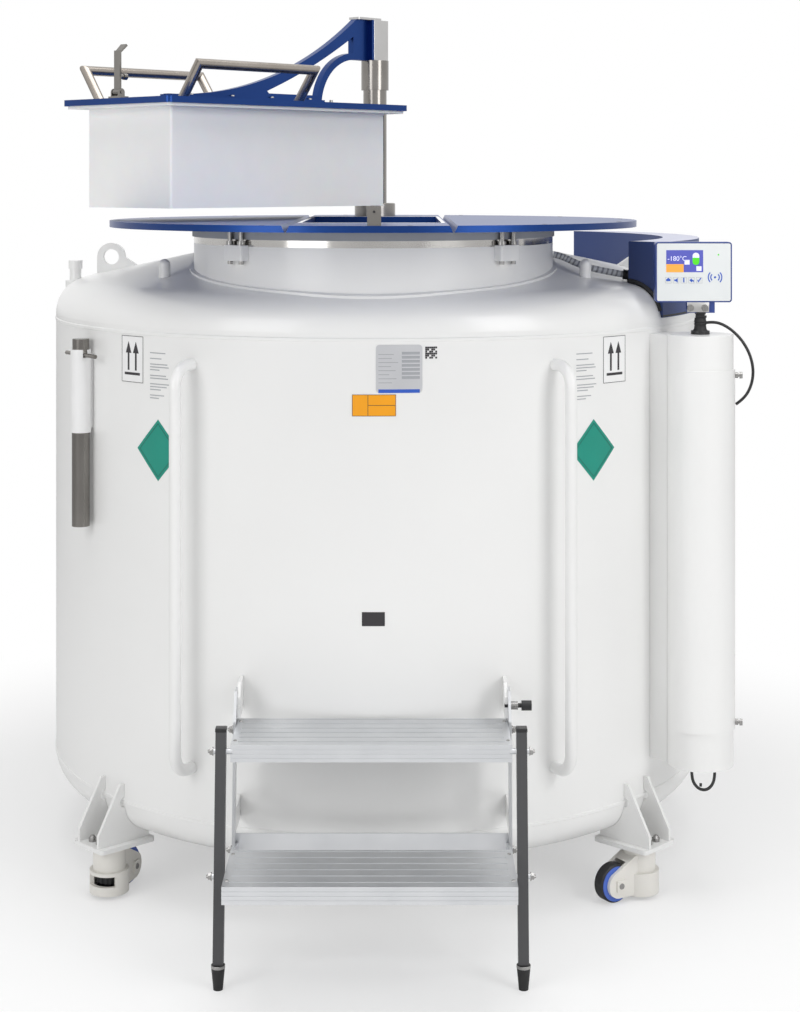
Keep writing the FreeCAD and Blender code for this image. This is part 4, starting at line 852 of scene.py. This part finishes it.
screw_x = 289.5
treads = {"upper": (489, 850, 1050), "lower": (265, 1040, 1250)}
for name, (top, back, front) in treads.items():
    heads = bmesh.new()
    for side in (-1, 1):
        for y in (back + 24, front - 34):
            x = side * screw_x
            add_rod(heads, (x, -y, top), (x, -y, top + 1.6), 4.2, 3.4, sides=20)
    new_piece(name + "_tread_screws", heads, fastener_steel, name + "_step")


def nut_at(mesh_data, x, y, z, side):
    """A washer, a hexagon nut and a rounded thread end on a sideways pin."""
    washer, nut, end = x + side * 1.6, x + side * 7.6, x + side * 11.5
    add_rod(mesh_data, (x, y, z), (washer, y, z), 9.0)
    add_rod(mesh_data, (washer, y, z), (nut, y, z), 7.6, 7.2, sides=6)
    add_rod(mesh_data, (nut, y, z), (end, y, z), 4.6, 3.0, sides=20)


pins = {"upper": ((333, -1045, 475), (305.5, -887, 475)),
        "lower": ((333, -1080, 224), (305.5, -922, 224))}
for name, places in pins.items():
    nuts = bmesh.new()
    for side in (-1, 1):
        for x, y, z in places:
            nut_at(nuts, side * x, y, z, side)
    new_piece(name + "_pivot_nuts", nuts, fastener_steel, name + "_step")
print("nuts on", sum(2 * len(places) for places in pins.values()), "pins")

# %% [markdown]
# A levelling caster's wheel has a blue core on each side, a shallow turned ring, and the fork's axle
# ends in a small steel cap. Each caster has its own heading, and its trim is drawn in its own frame.

# %% Caster trim
caster_reach = 852
core_x, core_z, core_out = 80, 44, 12.2
cap_x, cap_z = 78, 43
fork_outside = 15 + 3 + 9 + 5
core_profile = [(14, 3.0), (40, 3.0), (40, 4.4), (37, 5.4), (17, 5.4), (14, 4.4), (14, 3.0)]
casters = {"front_right": (-43.0, 212.5), "front_left": (-137.0, 70.0),
           "rear_left": (137.0, 30.0), "rear_right": (43.0, 155.0)}
for name, (azimuth, heading) in casters.items():
    centre = polar(caster_reach, azimuth, 0)
    place = Matrix.Translation(centre * MM) @ Matrix.Rotation(radians(heading), 4, "Z")
    core = bmesh.new()
    boss = bmesh.new()
    for side in (-1, 1):
        sideways = Matrix.Rotation(radians(-90 * side), 4, "X")
        add_lathe(core, core_profile, Matrix.Translation((core_x, side * core_out, core_z)) @ sideways)
        outer = side * fork_outside
        add_rod(boss, (cap_x, outer, cap_z), (cap_x, outer + side * 1.8, cap_z), 7.0, 6.4)
    new_piece("wheel_core_" + name, core, wheel_blue, "wheel_" + name, place)
    new_piece("axle_caps_" + name, boss, fastener_steel, "swivel_" + name, place)
print("casters", len(casters))

# %% [markdown]
# Two thumb screws hold the probe tube's cover, a plastic tie gathers the short cable's loop, and
# the hose goes into the duct through a ribbed rubber gland, whose axis is the hose's last stretch.

# %% Cover, cable and hose trim
tube_radius, cover_proud, cover_azimuth = 81.3, 7.2, -13
screw_heights = (404, 1220)
away = polar(1, cover_azimuth, 0)
knobs = bmesh.new()
for height in screw_heights:
    base = Vector((tube_x, tube_y, height)) + away * (tube_radius + cover_proud)
    add_rod(knobs, base, base + away * 3, 4.0)
    add_rod(knobs, base + away * 3, base + away * 10, 8.2, 7.4, sides=14)
new_piece("cover_thumb_screws", knobs, fastener_steel, "tank")

tie_low, tie_high = (757, -632, 268), (763, -629, 276)
tie = bmesh.new()
add_box(tie, tie_low, tie_high, 0.8)
new_piece("cable_tie", tie, black_plastic, "tank")

gland = bmesh.new()
mouth = Vector(hose_route[-1])
inward = (mouth - Vector(hose_route[-2])).normalized()
turn = inward.to_track_quat("Z", "Y").to_matrix().to_4x4()
gland_profile = [(8.3, -22), (12, -22), (12.6, -19), (11.4, -17), (12.6, -15), (11.4, -13), (12.8, -10),
                 (14, -8), (14, 2), (8.3, 2), (8.3, -22)]
add_lathe(gland, gland_profile, Matrix.Translation(mouth) @ turn)
new_piece("hose_gland", gland, black_rubber, "tank")
print("gland at", tuple(mouth))

# %% [markdown]
# The lid is turned 43.1 degrees about its column, so its trim is drawn along the arm in the lid's
# own frame first: a bolt on its plate near the column, the seam on the plug's corner, and two rows of
# screws in the arm's foot. Past the lid, the post that the latch closes on gets a thin black hexagon,
# painted shade that stands for the dark hollow of its socket.

# %% Lid trim
column_x, column_y, lid_turn = -8, 143, 43.1
lid_place = Matrix.Translation(at(column_x, column_y)) @ Matrix.Rotation(radians(-90 - lid_turn), 4, "Z")
stub_x, stub_y = 159, -10
stub = bmesh.new()
for low, high, radius, far, sides in ((1875, 1878, 11.0, 11.0, 32), (1878, 1885, 9.5, 9.0, 6),
                                      (1885, 1893, 5.5, 4.5, 32)):
    add_rod(stub, (stub_x, stub_y, low), (stub_x, stub_y, high), radius, far, sides)
new_piece("lid_stub_bolt", stub, fastener_steel, "lid", lid_place)
seam_low, seam_high = (129.5, 156.8, 1616), (131.5, 157.3, 1850)
seam = bmesh.new()
add_box(seam, seam_low, seam_high)
new_piece("plug_corner_seam", seam, black_plastic, "lid", lid_place)
# The black hexagon is painted shade: it stands for the dark hollow of the post's socket.
latch_post = Vector((5, -978.8, 1611))
socket = bmesh.new()
add_rod(socket, latch_post, latch_post + Vector((0, -0.5, 0)), 3.2, sides=6)
new_piece("latch_post_socket_shade", socket, black_plastic, "tank")
foot_top = 1890
first_screw, screw_step, screw_across = 262, 136, 15.5
foot_screws = bmesh.new()
for index in range(4):
    along = first_screw + screw_step * index
    for across in (-screw_across, screw_across):
        base, face, socket_face = [Vector((along, across, foot_top + lift)) for lift in (0, 3.5, 3.7)]
        add_rod(foot_screws, base, face, 5.2, 4.4)
        add_rod(foot_screws, face, socket_face, 2.4, sides=6)
new_piece("arm_foot_screws", foot_screws, fastener_steel, "lid", lid_place)
print("lid's own frame at", [round(value, 3) for value in lid_place.translation])

# %% [markdown]
# The deck's small parts stand round the neck's axis: twelve dark screw heads in a ring, half a
# millimetre high, and a thin white lip round the slot. Both stay below the lid as it swings.

# %% Deck trim
neck_x, neck_y = -5, -348
neck_place = Matrix.Translation(at(neck_x, neck_y))
deck_top = 1581
ring_radius, ring_start, ring_count = 626, 8, 12
deck_screws = bmesh.new()
for index in range(ring_count):
    spot = polar(ring_radius, ring_start + 360 / ring_count * index, deck_top)
    add_rod(deck_screws, spot, spot + Vector((0, 0, 0.5)), 6.5, 5.8, sides=24)
new_piece("deck_rim_screws", deck_screws, black_plastic, "tank", neck_place)
slot_x, slot_y, lip_wide = 160, 367, 8
lip_x, lip_y = slot_x + lip_wide, slot_y + lip_wide
slot_lip = bmesh.new()
for low, high in (((-lip_x, -lip_y), (-slot_x, lip_y)), ((slot_x, -lip_y), (lip_x, lip_y)),
                  ((-slot_x, -lip_y), (slot_x, -slot_y)), ((-slot_x, slot_y), (slot_x, lip_y))):
    add_box(slot_lip, (*low, deck_top + 0.02), (*high, deck_top + 0.7))
new_piece("slot_lip", slot_lip, sleeve_white, "tank", neck_place)
print("deck trim at", deck_top, "mm")

# %% [markdown]
# The stage is a plain pale floor and a white surround. Camera, gloss and glass rays see plain
# white, while the light on the tank stays at the lamps' level. Near the tank the floor is a matt
# sheet that shows its shadow, and further out it fades into the same white as the surround.

# %% Floor and surround
floor_half = 30
fade_from, fade_to, fade_least = 1.0, 2.1, 0.45
world_level = 0.37
white = (1, 1, 1, 1)
floor = bpy.data.objects.new("floor", bpy.data.meshes.new("floor"))
sheet = bmesh.new()
bmesh.ops.create_grid(sheet, x_segments=1, y_segments=1, size=floor_half)
sheet.to_mesh(floor.data)
sheet.free()
scene.collection.objects.link(floor)
floor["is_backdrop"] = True
floor_finish, tree, shader, place = finish("pale_floor", 0.0, 0.6)
two_tones(tree, shader, place, "fafafa", "f6f6f6", 900)
from_tank = add(tree, "ShaderNodeVectorMath", None, {0: place}, operation="LENGTH")
fade = add(tree, "ShaderNodeMapRange", {"From Min": fade_from, "From Max": fade_to, "To Min": fade_least},
           {"Value": from_tank.outputs["Value"]}, interpolation_type="SMOOTHSTEP")
eye = add(tree, "ShaderNodeLightPath")
fade = add(tree, "ShaderNodeMath", None, {0: fade.outputs["Result"], 1: eye.outputs["Is Camera Ray"]},
           operation="MULTIPLY")
paper = add(tree, "ShaderNodeEmission", {"Color": white, "Strength": 1.0})
blend = add(tree, "ShaderNodeMixShader", None,
            {0: fade.outputs[0], 1: shader.outputs["BSDF"], 2: paper.outputs["Emission"]})
tree.links.new(blend.outputs["Shader"], tree.nodes["Material Output"].inputs["Surface"])
floor.data.materials.append(floor_finish)

world = bpy.data.worlds.new("studio")
scene.world = world
world.use_nodes = True
tree = world.node_tree
background = tree.nodes["Background"]
background.inputs["Color"].default_value = white
rays = add(tree, "ShaderNodeLightPath")
seen = rays.outputs["Is Camera Ray"]
for ray in ("Is Glossy Ray", "Is Transmission Ray"):
    seen = add(tree, "ShaderNodeMath", None, {0: seen, 1: rays.outputs[ray]}, operation="MAXIMUM").outputs[0]
strength = add(tree, "ShaderNodeMapRange", {"To Min": world_level, "To Max": 1.0}, {"Value": seen})
tree.links.new(strength.outputs["Result"], background.inputs["Strength"])
print("floor fades from", fade_from, "to", fade_to, "m")

# %% [markdown]
# Three large soft lamps: one from the front left, a slightly stronger one from the front right, and
# one overhead. Their size keeps the shadows soft, as in a studio. The Standard view transform
# renders each colour about as it is written.

# %% Lamps


def soft_lamp(name, place, target, size, power):
    """A rectangular lamp at a place in metres that points at a target."""
    lamp = bpy.data.lights.new(name, "AREA")
    lamp.shape = "RECTANGLE"
    lamp.size, lamp.size_y = size
    lamp.energy = power
    holder = bpy.data.objects.new(name, lamp)
    scene.collection.objects.link(holder)
    holder.location = place
    holder.rotation_euler = (Vector(target) - Vector(place)).to_track_quat("-Z", "Y").to_euler()
    print(name, power, "W")


soft_lamp("front_left", place=(-3.2, -4.2, 2.6), target=(0, 0, 1.0), size=(2.4, 3.0), power=68)
soft_lamp("front_right", place=(3.4, -3.8, 3.0), target=(0, 0, 1.2), size=(2.0, 3.0), power=84)
soft_lamp("overhead", place=(0.0, -0.6, 4.6), target=(0, 0, 1.0), size=(3.6, 3.0), power=104)
scene.view_settings.view_transform = "Standard"

# %% [markdown]
# The dressed tank has to stay as large as the CAD model, so both boxes are written down before the
# script hands the scene over.

# %% Measure the dressed tank
low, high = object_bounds()
